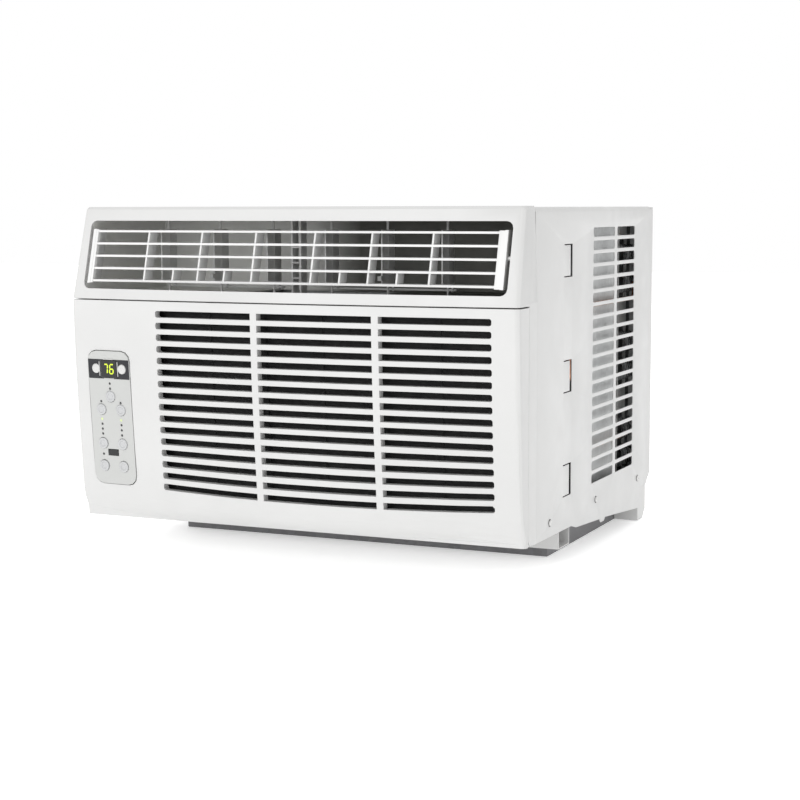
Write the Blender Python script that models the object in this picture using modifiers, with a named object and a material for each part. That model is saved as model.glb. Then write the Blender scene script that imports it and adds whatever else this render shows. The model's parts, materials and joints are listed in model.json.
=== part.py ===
"""Window air conditioner, built from its separate pieces.

Metres, +Z up, the room side faces -Y.  The origin is the centre of the
footprint, at the height of the feet.  Run with
blender --background --python part.py, or from Blender's text editor.
"""
import bpy
import bmesh
from math import cos, pi, radians, sin
from mathutils import Matrix, Vector

# ---------------------------------------------------------------- overall size
WIDTH = 0.600
DEPTH = 0.569
HEIGHT = 0.440
HALF = WIDTH / 2
FRONT_Y = -DEPTH / 2
REAR_Y = DEPTH / 2
GAP = 0.0003                    # clearance left between touching pieces

# ------------------------------------------------------------- sheet and walls
STEEL = 0.0012                  # cabinet and bulkhead sheet
PAN = 0.0015                    # base pan sheet
PLASTIC = 0.0025                # moulded walls
EDGE_R = 0.006                  # vertical corners of the front moulding

# --------------------------------------------------------------- front moulding
PARTING_Z = 0.325               # line between upper bezel and intake grille
BOW = 0.014                     # how far the front bulges at its middle
CORNER_Y = FRONT_Y + BOW        # front corner at the parting line
TUCK = 0.017                    # how far the corner leans back near the chin
TUCK_POWER = 1.6
CHIN_Z = 0.060                  # level at which the full tuck is reached
BEZEL_TOP_Y = -0.2405           # front corner at the top edge
BEZEL_TOP_Z = 0.4365
BEZEL_TAPER = 0.0035            # how much each side leans in at the top
SEAM_Y = -0.2110                # rear edge of the moulding
GRILLE_BACK_Y = -0.2385         # rear edge of the grille's side returns
CHEEK_FRONT_Y = -0.2380

# ------------------------------------------------------------------ louvre duct
OPEN_HALF = 0.2835
OPEN_LOW_Z = 0.3386
OPEN_HIGH_Z = 0.4229
OPEN_R = 0.008
DUCT_HALF = 0.2865
DUCT_LOW_Z = 0.3305
DUCT_HIGH_Z = 0.4315
DUCT_BACK_Y = -0.0685
DUCT_WALL = 0.0022

LOUVRE_X = (-0.2800, 0.2775)
LOUVRE_AXIS = Vector((0.0, -0.2475, 0.3805))
BLADE_Z = [0.4097 - 0.0153 * row for row in range(5)]
BLADE_DEPTH = 0.022
BLADE_T = 0.0026
RIB_X = (-0.199, -0.123, -0.048, 0.032, 0.107, 0.185)
SHORT_RIB_X = (-0.158, -0.086, 0.070, 0.144)
RIB_T = 0.0022
END_BAR = (0.0070, 0.0110)      # widths of the louvre frame's left and right end bars
END_T = 0.0040                  # end plates behind those bars
END_BAR_DEPTH = 0.0050
PIN_R = 0.0025

VANE_OFFSET_X = -0.003          # vanes stand just left of the louvre ribs
VANE_Y = -0.195                 # vertical pivot axis of every vane
VANE_DEPTH = 0.036
VANE_LOW_Z = 0.3465
VANE_HIGH_Z = 0.4120
VANE_T = 0.0018
VANE_PIN_R = 0.0015
CRANK = 0.0145                  # pivot to link pin, rearwards
LINK_Z = 0.3400
LINK_T = 0.0024

# ----------------------------------------------------------------- intake grille
SLOTS = 16
SLOT_TOP_Z = 0.3090             # centre of the top slot
SLOT_PITCH = 0.01440
SLOT_LOWER_PITCH = 0.01498      # the last six rows are a little further apart
SLOT_H = 0.0083
SLOT_X = (-0.172, 0.267)
DIVIDER_X = (-0.0330, 0.1255)
DIVIDER_T = 0.0085
SLOT_SAG = 0.0055               # dip of the lowest slot at its middle
BAR_DEPTH = 0.011
CREASE_Z = 0.067                # lowest point of the crease over the chin
CREASE_RISE = 0.017
CHIN_LOW_Z = 0.0470
HINGE = Vector((0.0, -0.2375, 0.0505))
HINGE_PIN_R = 0.0020

# ------------------------------------------------------------------ control panel
PANEL_X = -0.245
PANEL_Z = 0.176
PANEL_HALF_U = 0.032
PANEL_HALF_V = 0.085
PANEL_R = 0.013
PANEL_DEPTH = 0.0042
PANEL_GAP = 0.0008
BUTTON_R = 0.0070
TEMP_BUTTON_R = 0.0060
BUTTONS = {                     # name: (x, z, radius) on the panel's face
    "temp_down_button": (-0.2648, 0.2384, TEMP_BUTTON_R),
    "temp_up_button": (-0.2250, 0.2384, TEMP_BUTTON_R),
    "filter_button": (-0.2450, 0.2034, BUTTON_R),
    "sleep_button": (-0.2602, 0.1865, BUTTON_R),
    "energy_button": (-0.2302, 0.1865, BUTTON_R),
    "fan_button": (-0.2606, 0.1430, BUTTON_R),
    "mode_button": (-0.2304, 0.1430, BUTTON_R),
    "timer_button": (-0.2608, 0.1141, BUTTON_R),
    "power_button": (-0.2308, 0.1141, BUTTON_R),
}

# ----------------------------------------------------------------- steel cabinet
WRAP_HALF = 0.2975
WRAP_TOP_Z = 0.4385
WRAP_FRONT_Y = -0.2105
WRAP_REAR_Y = 0.2770
WRAP_R = 0.007
VENT_ROWS = 20
VENT_PITCH = 0.0166
VENT_LOW_Z = 0.0912             # centre of the lowest vent row
VENT_H = 0.0118
VENT_COLUMNS = ((0.008, 0.100), (0.111, 0.192))
HOOK_Y = (-0.107, -0.075)
HOOK_Z = (0.374, 0.233, 0.105)
HOOK_H = 0.040
SCREW_Y = (-0.155, 0.027, 0.218)
SCREW_Z = 0.062

# --------------------------------------------------------------- base and inside
PAN_HALF = 0.2958
PAN_FRONT_Y = -0.2310
PAN_REAR_Y = 0.2650
PAN_FLOOR_Z = 0.0460
PAN_TOP_Z = 0.0780
WELL_HALF = 0.262
WELL_FRONT_Y = -0.060
FOOT_Y = 0.228
RAIL_Y = (-0.116, -0.075)
RAIL_Z = (0.022, 0.0457)

AXIS_X = 0.030                  # fan and blower axis, along Y
AXIS_Z = 0.200
SHAFT_R = 0.004
WHEEL_R = 0.080
WHEEL_Y = (-0.172, -0.100)
FAN_R = 0.146
FAN_Y = (0.128, 0.152)
SHROUD_HOLE_R = 0.152
SHROUD_Y = 0.158
COMPRESSOR = Vector((0.185, 0.020, 0.0))
COMPRESSOR_R = 0.058
COIL_END_X = 0.2700             # right end of the condenser's fins
PLATE_WINDOW_Z = (0.0715, 0.1922, 0.3130)
PLATE_WINDOW_H = 0.081
BEND_H = 0.0231                 # height of one U-bend of a coil


# ================================================================== small helpers
def clear_scene():
    for obj in list(bpy.data.objects):
        bpy.data.objects.remove(obj, do_unlink=True)


def new_collection(name):
    collection = bpy.data.collections.new(name)
    bpy.context.scene.collection.children.link(collection)
    return collection


def principled(name, colour, roughness, metallic=0.0):
    material = bpy.data.materials.new(name)
    material.use_nodes = True
    shader = material.node_tree.nodes["Principled BSDF"]
    shader.inputs["Base Color"].default_value = (*colour, 1.0)
    shader.inputs["Roughness"].default_value = roughness
    shader.inputs["Metallic"].default_value = metallic
    material.diffuse_color = (*colour, 1.0)
    return material


def make_object(name, mesh_or_bm, collection, origin=(0, 0, 0), material=None):
    """Link a mesh, given in world coordinates, as an object with its own origin."""
    if isinstance(mesh_or_bm, bmesh.types.BMesh):
        mesh = bpy.data.meshes.new(name)
        mesh_or_bm.to_mesh(mesh)
        mesh_or_bm.free()
    else:
        mesh = mesh_or_bm
        mesh.name = name
    origin = Vector(origin)
    mesh.transform(Matrix.Translation(-origin))
    obj = bpy.data.objects.new(name, mesh)
    obj.location = origin
    collection.objects.link(obj)
    if material:
        mesh.materials.clear()
        mesh.materials.append(material)
    return obj


def part(name, mesh_or_bm, material, origin=(0, 0, 0)):
    return make_object(name, mesh_or_bm, PARTS, origin, material)


def add_box(bm, low, high):
    low, high = Vector(low), Vector(high)
    size = high - low
    matrix = Matrix.Translation((low + high) / 2) @ Matrix.Diagonal((*size, 1.0))
    return bmesh.ops.create_cube(bm, size=1.0, matrix=matrix)["verts"]


def boxes(*corner_pairs):
    bm = bmesh.new()
    for low, high in corner_pairs:
        add_box(bm, low, high)
    return bm


def add_cylinder(bm, start, end, radius, sides=12, end_radius=None):
    start, end = Vector(start), Vector(end)
    along = end - start
    turn = Vector((0, 0, 1)).rotation_difference(along).to_matrix().to_4x4()
    matrix = Matrix.Translation((start + end) / 2) @ turn
    bmesh.ops.create_cone(bm, cap_ends=True, segments=sides, radius1=radius,
                          radius2=radius if end_radius is None else end_radius,
                          depth=along.length, matrix=matrix)


def cylinders(*items):
    """A mesh of cylinders, each given as (start, end, radius, sides)."""
    bm = bmesh.new()
    for start, end, radius, sides in items:
        add_cylinder(bm, start, end, radius, sides)
    return bm


def add_prism(bm, outline, offset):
    """Close a flat outline of 3-D points into a prism along offset."""
    verts = [bm.verts.new(point) for point in outline]
    face = bm.faces.new(verts)
    moved = bmesh.ops.extrude_face_region(bm, geom=[face])["geom"]
    new = [item for item in moved if isinstance(item, bmesh.types.BMVert)]
    bmesh.ops.translate(bm, verts=new, vec=Vector(offset))
    bmesh.ops.recalc_face_normals(bm, faces=bm.faces[:])


def rounded_rectangle(half_u, half_v, radius, steps=3):
    points = []
    for corner, (su, sv) in enumerate(((1, 1), (-1, 1), (-1, -1), (1, -1))):
        for step in range(steps + 1):
            angle = radians(90 * corner + 90 * step / steps)
            points.append((su * (half_u - radius) + radius * cos(angle),
                           sv * (half_v - radius) + radius * sin(angle)))
    return points


def boolean(obj, operation, tool, own_overlaps=False):
    modifier = obj.modifiers.new(operation.lower(), "BOOLEAN")
    modifier.operation = operation
    modifier.solver = "EXACT"
    modifier.use_self = own_overlaps
    modifier.object = tool
    return obj


def as_tool(name, mesh_or_bm):
    tool = make_object(name, mesh_or_bm, CUTTERS)
    tool.hide_render = True
    tool.display_type = "WIRE"
    return tool


def cut(obj, mesh_or_bm):
    return boolean(obj, "DIFFERENCE", as_tool("cut_" + obj.name, mesh_or_bm))


def join(obj, mesh_or_bm, own_overlaps=False):
    tool = as_tool("add_" + obj.name, mesh_or_bm)
    return boolean(obj, "UNION", tool, own_overlaps)


def lathe(name, profile, material, centre, axis=(0, 0, 1), steps=24):
    """Turn an outline of (radius, height) points about an axis through centre.

    The outline runs down the outer side, from top to bottom.
    """
    bm = bmesh.new()
    verts = [bm.verts.new((radius, 0.0, height)) for radius, height in profile]
    closed = min(radius for radius, _ in profile) > 1e-6
    for first, second in zip(verts, verts[1:]):
        bm.edges.new((first, second))
    if closed:
        bm.edges.new((verts[-1], verts[0]))
    mesh = bpy.data.meshes.new(name)
    bm.to_mesh(mesh)
    bm.free()
    obj = bpy.data.objects.new(name, mesh)
    PARTS.objects.link(obj)
    mesh.materials.append(material)
    obj.location = centre
    obj.rotation_euler = Vector((0, 0, 1)).rotation_difference(Vector(axis)).to_euler()
    screw = obj.modifiers.new("turn", "SCREW")
    screw.steps = steps
    screw.render_steps = steps
    screw.use_merge_vertices = True
    screw.merge_threshold = 0.00001
    screw.use_smooth_shade = True
    return obj


def tube_mesh(points, radius, resolution=2):
    """A closed mesh of a round tube along the points."""
    curve = bpy.data.curves.new("tube", "CURVE")
    curve.dimensions = "3D"
    curve.bevel_depth = radius
    curve.bevel_resolution = resolution
    curve.use_fill_caps = True
    spline = curve.splines.new("POLY")
    spline.points.add(len(points) - 1)
    for target, point in zip(spline.points, points):
        target.co = (*point, 1.0)
    guide = bpy.data.objects.new("tube", curve)
    bpy.context.scene.collection.objects.link(guide)
    bpy.context.view_layer.update()
    evaluated = guide.evaluated_get(bpy.context.evaluated_depsgraph_get())
    mesh = bpy.data.meshes.new_from_object(evaluated)
    bpy.data.objects.remove(guide, do_unlink=True)
    bm = bmesh.new()
    bm.from_mesh(mesh)
    bmesh.ops.remove_doubles(bm, verts=bm.verts[:], dist=0.00001)
    bm.to_mesh(mesh)
    bm.free()
    return mesh


def bent(points, radius, steps=3):
    """Points of a route whose corners are rounded to the radius."""
    points = [Vector(point) for point in points]
    route = [points[0]]
    for before, corner, after in zip(points, points[1:], points[2:]):
        start = corner + (before - corner).normalized() * radius
        end = corner + (after - corner).normalized() * radius
        for step in range(steps + 1):
            t = step / steps
            route.append(start * (1 - t) ** 2 + corner * 2 * t * (1 - t) + end * t * t)
    route.append(points[-1])
    return route


# ============================================================= front moulding shape
def front_y(x, z):
    """The moulding's outer face below the parting line."""
    drop = max(0.0, (PARTING_Z - z) / (PARTING_Z - CHIN_Z))
    corner = CORNER_Y + TUCK * drop ** TUCK_POWER
    return corner - BOW * (1 - (x / HALF) ** 2)


def bezel_y(x, z):
    """The moulding's outer face above the parting line."""
    t = (z - PARTING_Z) / (BEZEL_TOP_Z - PARTING_Z)
    corner = CORNER_Y + (BEZEL_TOP_Y - CORNER_Y) * t
    return corner - BOW * (1 - (x / HALF) ** 2)


def front_x_stations(half, count=9):
    reach = half - EDGE_R
    return [-reach + 2 * reach * step / (count - 1) for step in range(count)]


def wall_ring(face_y, half, back_y, height):
    """One level of the moulding: left side, round corner, bowed front, right side.

    face_y and height are functions of x.
    """
    xs = front_x_stations(half)
    left = [(-half, back_y)]
    for step in range(4):
        angle = pi + 0.5 * pi * step / 3
        x = -half + EDGE_R + EDGE_R * cos(angle)
        left.append((x, face_y(xs[0]) + EDGE_R + EDGE_R * sin(angle)))
    middle = [(x, face_y(x)) for x in xs[1:-1]]
    right = [(-x, y) for x, y in reversed(left)]
    return [Vector((x, y, height(x))) for x, y in left + middle + right]


def shell_from_rings(name, rings, material, top_face=False):
    """An open surface through the rings, given a wall inwards by Solidify."""
    bm = bmesh.new()
    rows = [[bm.verts.new(point) for point in ring] for ring in rings]
    for upper, lower in zip(rows, rows[1:]):
        for i in range(len(upper) - 1):
            bm.faces.new((upper[i], lower[i], lower[i + 1], upper[i + 1]))
    if top_face:
        bm.faces.new(rows[0])
    bmesh.ops.recalc_face_normals(bm, faces=bm.faces[:])
    bm.faces.ensure_lookup_table()
    first = bm.faces[0]
    away = first.calc_center_median()
    away.z = 0.0
    if first.normal.dot(away) < 0:
        bmesh.ops.reverse_faces(bm, faces=bm.faces[:])
    obj = part(name, bm, material)
    solidify = obj.modifiers.new("wall", "SOLIDIFY")
    solidify.thickness = PLASTIC
    solidify.offset = -1.0
    solidify.use_even_offset = True
    return obj


def make_front_frame(material):
    """Upper bezel with the louvre opening, and a cheek down each side."""
    def taper(t):
        return HALF - BEZEL_TAPER * t

    rings = []
    for z, lift in ((BEZEL_TOP_Z, 1.0), (0.40, 0.67), (0.36, 0.31), (PARTING_Z + 0.0012, 0.0)):
        rings.append(wall_ring(lambda x, z=z: bezel_y(x, z), taper(lift), SEAM_Y,
                               lambda x, z=z: z))
    cap = wall_ring(lambda x: bezel_y(x, BEZEL_TOP_Z) + 0.0035,
                    taper(1.0) - 0.0015, SEAM_Y, lambda x: HEIGHT)
    obj = shell_from_rings("front_frame", [cap] + rings, material, top_face=True)

    shelf_z = PARTING_Z + 0.0012
    cheeks = bmesh.new()
    for side in (-1, 1):
        xs = sorted((side * HALF, side * (HALF - PLASTIC)))
        outline = [(CHEEK_FRONT_Y, 0.0545), (CHEEK_FRONT_Y + 0.0065, 0.0475), (SEAM_Y, 0.0475),
                   (SEAM_Y, shelf_z + 0.004), (CHEEK_FRONT_Y, shelf_z + 0.004)]
        add_prism(cheeks, [(xs[0], y, z) for y, z in outline], (xs[1] - xs[0], 0, 0))
    join(obj, cheeks)

    inner = HALF - PLASTIC / 2
    shelf = boxes(((-inner, CORNER_Y + 0.004, shelf_z), (inner, SEAM_Y - 0.001, shelf_z + 0.0022)))
    join(obj, shelf)

    sockets = bmesh.new()
    for side in (-1, 1):
        xs = sorted((side * 0.2895, side * (HALF - 0.0020)))
        add_box(sockets, (xs[0], -0.2345, 0.0465), (xs[1], -0.2318, 0.0560))
    join(obj, sockets)
    eyes = bmesh.new()
    for side in (-1, 1):
        xs = sorted((side * 0.2897, side * 0.2962))
        add_box(eyes, (xs[0], HINGE.y - 0.0040, HINGE.z - 0.0036),
                (xs[1], -0.2335, HINGE.z + 0.0042))
    join(obj, eyes)
    cut(obj, cylinders(*[((side * 0.280, HINGE.y, HINGE.z), (side * 0.2968, HINGE.y, HINGE.z),
                          HINGE_PIN_R + 0.0004, 12) for side in (-1, 1)]))

    opening = bmesh.new()
    middle_z = (OPEN_LOW_Z + OPEN_HIGH_Z) / 2
    outline = rounded_rectangle(OPEN_HALF, (OPEN_HIGH_Z - OPEN_LOW_Z) / 2, OPEN_R)
    add_prism(opening, [(x, -0.30, middle_z + z) for x, z in outline], (0, 0.080, 0))
    cut(obj, opening)
    return obj


def slot_z(row, x):
    """Height of a slot's centre line."""
    upper = min(row, SLOTS - 6)
    lower = max(0, row - (SLOTS - 6))
    level = SLOT_TOP_Z - upper * SLOT_PITCH - lower * SLOT_LOWER_PITCH
    middle = (SLOT_X[0] + SLOT_X[1]) / 2
    reach = (SLOT_X[1] - SLOT_X[0]) / 2
    sag = SLOT_SAG * (lower / 6) * (1 - ((x - middle) / reach) ** 2)
    return level + SLOT_SAG * (lower / 6) * 0.6 - sag


def panel_frame():
    """Matrix of the control panel: local X along it, local Y up, local Z outwards."""
    centre = Vector((PANEL_X, front_y(PANEL_X, PANEL_Z), PANEL_Z))
    span = 0.02
    along = Vector((2 * span, front_y(PANEL_X + span, PANEL_Z)
                    - front_y(PANEL_X - span, PANEL_Z), 0)).normalized()
    up = Vector((0, front_y(PANEL_X, PANEL_Z + 0.06) - front_y(PANEL_X, PANEL_Z - 0.06), 0.12))
    normal = along.cross(up.normalized()).normalized()
    up = normal.cross(along)
    matrix = Matrix((along, up, normal)).transposed().to_4x4()
    matrix.translation = centre
    return matrix


def make_intake_grille(material):
    """Lower front: bowed face with the intake slots, chin and side returns."""
    def crease(x):
        return CREASE_Z + CREASE_RISE * min(1.0, (x / 0.275) ** 2)

    top = PARTING_Z - 0.0006

    def level(t):
        return lambda x: top + (crease(x) - top) * t

    rings = [wall_ring(lambda x: front_y(x, top) + 0.009, HALF - 0.009, GRILLE_BACK_Y,
                       lambda x: top)]
    for t in (0.0, 0.12, 0.35, 0.55, 0.75, 0.9, 1.0):
        height = level(t)
        rings.append(wall_ring(lambda x, h=height: front_y(x, h(x)), HALF, GRILLE_BACK_Y, height))
    chin = ((0.35, 0.0030), (0.65, 0.0085), (0.88, 0.0160), (1.0, 0.0220))
    for t, back in chin:
        def height(x, t=t):
            return crease(x) + (CHIN_LOW_Z - crease(x)) * t

        rings.append(wall_ring(lambda x, b=back: min(front_y(x, crease(x)) + b, -0.2465),
                               HALF, GRILLE_BACK_Y, height))
    obj = shell_from_rings("intake_grille", rings, material)

    field = bmesh.new()
    low, high = 0.0800, 0.3180
    verts = add_box(field, (SLOT_X[0] - 0.006, 0, low), (SLOT_X[1] + 0.006, 1, high))
    edges = [e for e in field.edges if abs(e.verts[0].co.x - e.verts[1].co.x) > 0.1]
    bmesh.ops.subdivide_edges(field, edges=edges, cuts=7, use_grid_fill=True)
    edges = [e for e in field.edges if abs(e.verts[0].co.z - e.verts[1].co.z) > 0.1]
    bmesh.ops.subdivide_edges(field, edges=edges, cuts=3, use_grid_fill=True)
    for vert in field.verts:
        depth = 0.0012 if vert.co.y < 0.5 else BAR_DEPTH
        vert.co.y = front_y(vert.co.x, vert.co.z) + depth
    join(obj, field)

    slots = bmesh.new()
    spans = ((SLOT_X[0], DIVIDER_X[0] - DIVIDER_T / 2),
             (DIVIDER_X[0] + DIVIDER_T / 2, DIVIDER_X[1] - DIVIDER_T / 2),
             (DIVIDER_X[1] + DIVIDER_T / 2, SLOT_X[1]))
    for row in range(SLOTS):
        for left, right in spans:
            curved = row >= SLOTS - 6
            count = 4 if curved else 2
            xs = [left + (right - left) * i / (count - 1) for i in range(count)]
            upper = [(x, -0.32, slot_z(row, x) + SLOT_H / 2) for x in xs]
            lower = [(x, -0.32, slot_z(row, x) - SLOT_H / 2) for x in reversed(xs)]
            add_prism(slots, upper + lower, (0, 0.075, 0))
    cut(obj, slots)

    window = bmesh.new()
    frame = panel_frame()
    outline = rounded_rectangle(PANEL_HALF_U + PANEL_GAP, PANEL_HALF_V + PANEL_GAP, PANEL_R)
    add_prism(window, [frame @ Vector((u, v, 0.02)) for u, v in outline],
              frame.to_3x3() @ Vector((0, 0, -0.05)))
    cut(obj, window)

    ears = bmesh.new()
    pins = []
    for side in (-1, 1):
        xs = sorted((side * 0.2845, side * 0.2890))
        add_box(ears, (xs[0], -0.2453, HINGE.z - 0.0025),
                (xs[1], HINGE.y + 0.0030, HINGE.z + 0.0060))
        pins.append(((side * 0.2870, HINGE.y, HINGE.z), (side * 0.2957, HINGE.y, HINGE.z),
                     HINGE_PIN_R, 12))
    join(obj, ears)
    join(obj, cylinders(*pins))
    obj.location = HINGE
    obj.data.transform(Matrix.Translation(-HINGE))
    return obj


def make_air_filter(material):
    """A ribbed frame that holds a fine net, leaning with the back of the slots."""
    x0, x1, z0, z1 = -0.186, 0.276, 0.0800, 0.3170
    net_t, rim = 0.0008, 0.006
    clear = BAR_DEPTH + 0.0030
    y0, y1 = front_y(x1, z0) + clear, front_y(x1, z1) + clear

    def leaning(bm):
        for vert in bm.verts:
            vert.co.y += y0 + (y1 - y0) * (vert.co.z - z0) / (z1 - z0)
        return bm

    obj = part("air_filter", leaning(boxes(((x0, 0, z0), (x1, net_t, z1)))), material, HINGE)
    join(obj, leaning(boxes(((x0, -0.0012, z0), (x1, 0.0020, z0 + rim)),
                            ((x0, -0.0012, z1 - rim), (x1, 0.0020, z1)))))
    uprights = bmesh.new()
    count, width = 7, 0.004
    for i in range(count):
        x = x0 + (x1 - x0 - width) * i / (count - 1)
        add_box(uprights, (x, -0.0011, z0 + rim / 2), (x + width, 0.0018, z1 - rim / 2))
    join(obj, leaning(uprights))
    return obj


# ====================================================================== louvres
def bezel_line(z, depth=0.0):
    """y of the flat leaning plane just inside the bezel's face, at height z."""
    lean = (BEZEL_TOP_Y - CORNER_Y) / (BEZEL_TOP_Z - PARTING_Z)
    return CORNER_Y + (z - PARTING_Z) * lean + 0.0015 + depth


def make_louvre_frame(material):
    blades = bmesh.new()
    left, right = LOUVRE_X
    for z in BLADE_Z:
        y = bezel_line(z)
        add_box(blades, (left + END_T / 2, y, z - BLADE_T / 2),
                (right - END_T / 2, y + BLADE_DEPTH, z + BLADE_T / 2))
    obj = part("louvre_frame", blades, material, LOUVRE_AXIS)

    def leaning_plate(bm, x, thick, z_low, z_high, start, end):
        outline = [(bezel_line(z_low, start), z_low), (bezel_line(z_high, start), z_high),
                   (bezel_line(z_high, end), z_high), (bezel_line(z_low, end), z_low)]
        add_prism(bm, [(x - thick / 2, y, z) for y, z in outline], (thick, 0, 0))

    ribs = bmesh.new()
    top, low = BLADE_Z[0], BLADE_Z[-1]
    for x in RIB_X:
        leaning_plate(ribs, x, RIB_T, low, top, 0.0012, BLADE_DEPTH - 0.002)
    for x in SHORT_RIB_X:
        leaning_plate(ribs, x, RIB_T, low, BLADE_Z[-2], 0.0012, BLADE_DEPTH - 0.002)
    for end, inward, bar in ((left, 1, END_BAR[0]), (right, -1, END_BAR[1])):
        leaning_plate(ribs, end + inward * END_T / 2, END_T, low - 0.003, top + 0.003,
                      -0.0010, BLADE_DEPTH + 0.001)
        leaning_plate(ribs, end + inward * (bar + END_T) / 2, bar - END_T + 0.0002,
                      low - 0.0025, top + 0.0025, -0.0006, END_BAR_DEPTH)
    join(obj, ribs, own_overlaps=True)
    pins = [((end - side * 0.002, LOUVRE_AXIS.y, LOUVRE_AXIS.z),
             (side * (DUCT_HALF - 0.0003), LOUVRE_AXIS.y, LOUVRE_AXIS.z), PIN_R, 12)
            for end, side in ((left, -1), (right, 1))]
    join(obj, cylinders(*pins))
    return obj


def make_vane(name, x, lever, material):
    """One upright deflector with its two pivot pins, its link pin and maybe a lever."""
    blade = bmesh.new()
    add_box(blade, (x - VANE_T / 2, VANE_Y - VANE_DEPTH / 2, VANE_LOW_Z),
            (x + VANE_T / 2, VANE_Y + VANE_DEPTH / 2, VANE_HIGH_Z))
    obj = part(name, blade, material, (x, VANE_Y, VANE_LOW_Z))
    pins = [((x, VANE_Y, DUCT_LOW_Z + 0.0006), (x, VANE_Y, DUCT_HIGH_Z - 0.0006), VANE_PIN_R, 8),
            ((x, VANE_Y + CRANK, LINK_Z - LINK_T), (x, VANE_Y + CRANK, VANE_LOW_Z + 0.004),
             VANE_PIN_R, 8)]
    join(obj, cylinders(*pins))
    if lever:
        join(obj, boxes(((x - 0.0025, VANE_Y - VANE_DEPTH / 2 - 0.007, 0.3515),
                         (x + 0.0025, VANE_Y - VANE_DEPTH / 2 + 0.003, 0.3570))))
    return obj


def make_link(name, xs, material):
    """The bar that ties one bank's three vanes together."""
    y = VANE_Y + CRANK
    obj = part(name, boxes(((min(xs) - 0.006, y - 0.0035, LINK_Z - LINK_T / 2),
                            (max(xs) + 0.006, y + 0.0035, LINK_Z + LINK_T / 2))),
               material, (xs[1], y, LINK_Z))
    cut(obj, cylinders(*[((x, y, LINK_Z - 0.01), (x, y, LINK_Z + 0.01), VANE_PIN_R + 0.0005, 8)
                         for x in xs]))
    return obj


def duct_profile(inset):
    """Side outline of the duct; its front edge leans with the bezel."""
    low, high = DUCT_LOW_Z + inset, DUCT_HIGH_Z - inset
    front = -0.02 if inset else 0.0
    return [(bezel_line(low, 0.003) + front, low), (bezel_line(high, 0.003) + front, high),
            (DUCT_BACK_Y - inset, high), (DUCT_BACK_Y - inset, low)]


def make_discharge_duct(material, vane_xs):
    body = bmesh.new()
    add_prism(body, [(-DUCT_HALF, y, z) for y, z in duct_profile(0.0)], (2 * DUCT_HALF, 0, 0))
    obj = part("discharge_duct", body, material)
    hollow = bmesh.new()
    half = DUCT_HALF - DUCT_WALL
    add_prism(hollow, [(-half, y, z) for y, z in duct_profile(DUCT_WALL)], (2 * half, 0, 0))
    cut(obj, hollow)
    cut(obj, boxes(((-0.102, -0.183, DUCT_LOW_Z - 0.01), (0.086, -0.0725, DUCT_LOW_Z + 0.01))))
    holes = [((side * (DUCT_HALF - 0.01), LOUVRE_AXIS.y, LOUVRE_AXIS.z),
              (side * (DUCT_HALF + 0.01), LOUVRE_AXIS.y, LOUVRE_AXIS.z), PIN_R + 0.0004, 12)
             for side in (-1, 1)]
    for x in vane_xs:
        for z in (DUCT_LOW_Z, DUCT_HIGH_Z):
            holes.append(((x, VANE_Y, z - 0.006), (x, VANE_Y, z + 0.006), VANE_PIN_R + 0.0004, 8))
    cut(obj, cylinders(*holes))
    return obj


def make_duct_pillar(material):
    """Ladder-like post in the middle of the duct."""
    x0, x1 = -0.0185, -0.0045
    z0, z1 = DUCT_LOW_Z + DUCT_WALL + GAP, DUCT_HIGH_Z - DUCT_WALL - GAP
    obj = part("duct_pillar", boxes(((x0, -0.2120, z0), (x1, -0.1960, z1))), material)
    windows = bmesh.new()
    rungs = 5
    pitch = (z1 - z0 - 0.002) / rungs
    for i in range(rungs):
        low = z0 + 0.002 + i * pitch
        add_box(windows, (x0 + 0.0025, -0.23, low), (x1 - 0.0025, -0.18, low + pitch - 0.002))
    cut(obj, windows)
    return obj


def make_foam_strip(material):
    top = DUCT_HIGH_Z - DUCT_WALL - GAP
    return part("foam_strip", boxes(((-0.270, -0.2320, top - 0.003), (0.020, -0.2130, top))),
                material)


# ================================================================= control panel
def in_panel(bm, frame):
    bmesh.ops.transform(bm, matrix=frame, verts=bm.verts[:])
    return bm


def panel_uv(frame, x, z):
    """Panel coordinates of the point of its face seen at x, z from the front."""
    local = frame.inverted() @ Vector((x, frame.translation.y, z))
    return local.x, local.y


def make_control_panel(frame, material):
    plate = bmesh.new()
    outline = rounded_rectangle(PANEL_HALF_U, PANEL_HALF_V, PANEL_R)
    add_prism(plate, [(u, v, 0.0) for u, v in outline], (0, 0, -PANEL_DEPTH))
    obj = part("control_panel", in_panel(plate, frame), material)
    holes = bmesh.new()
    for x, z, radius in BUTTONS.values():
        u, v = panel_uv(frame, x, z)
        add_cylinder(holes, (u, v, -0.02), (u, v, 0.02), radius + 0.0005, 12)
    cut(obj, in_panel(holes, frame))
    windows = bmesh.new()
    add_box(windows, (-0.0123, 0.0513, -0.02), (0.0123, 0.0737, 0.02))
    add_box(windows, (-0.0093, -0.0486, -0.02), (0.0073, -0.0400, 0.02))
    cut(obj, in_panel(windows, frame))
    return obj


def make_button(name, frame, x, z, radius, material):
    """A domed cap with a flange that keeps it behind the panel."""
    u, v = panel_uv(frame, x, z)
    rise = 0.0014
    profile = [(0.0, rise), (radius * 0.5, rise * 0.85), (radius * 0.85, rise * 0.45),
               (radius, -0.0002), (radius, -0.0047), (radius + 0.0012, -0.0047),
               (radius + 0.0012, -0.0056), (0.0, -0.0056)]
    obj = lathe(name, profile, material, (0, 0, 0), steps=12)
    obj.matrix_world = frame @ Matrix.Translation((u, v, 0.0))
    return obj


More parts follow.
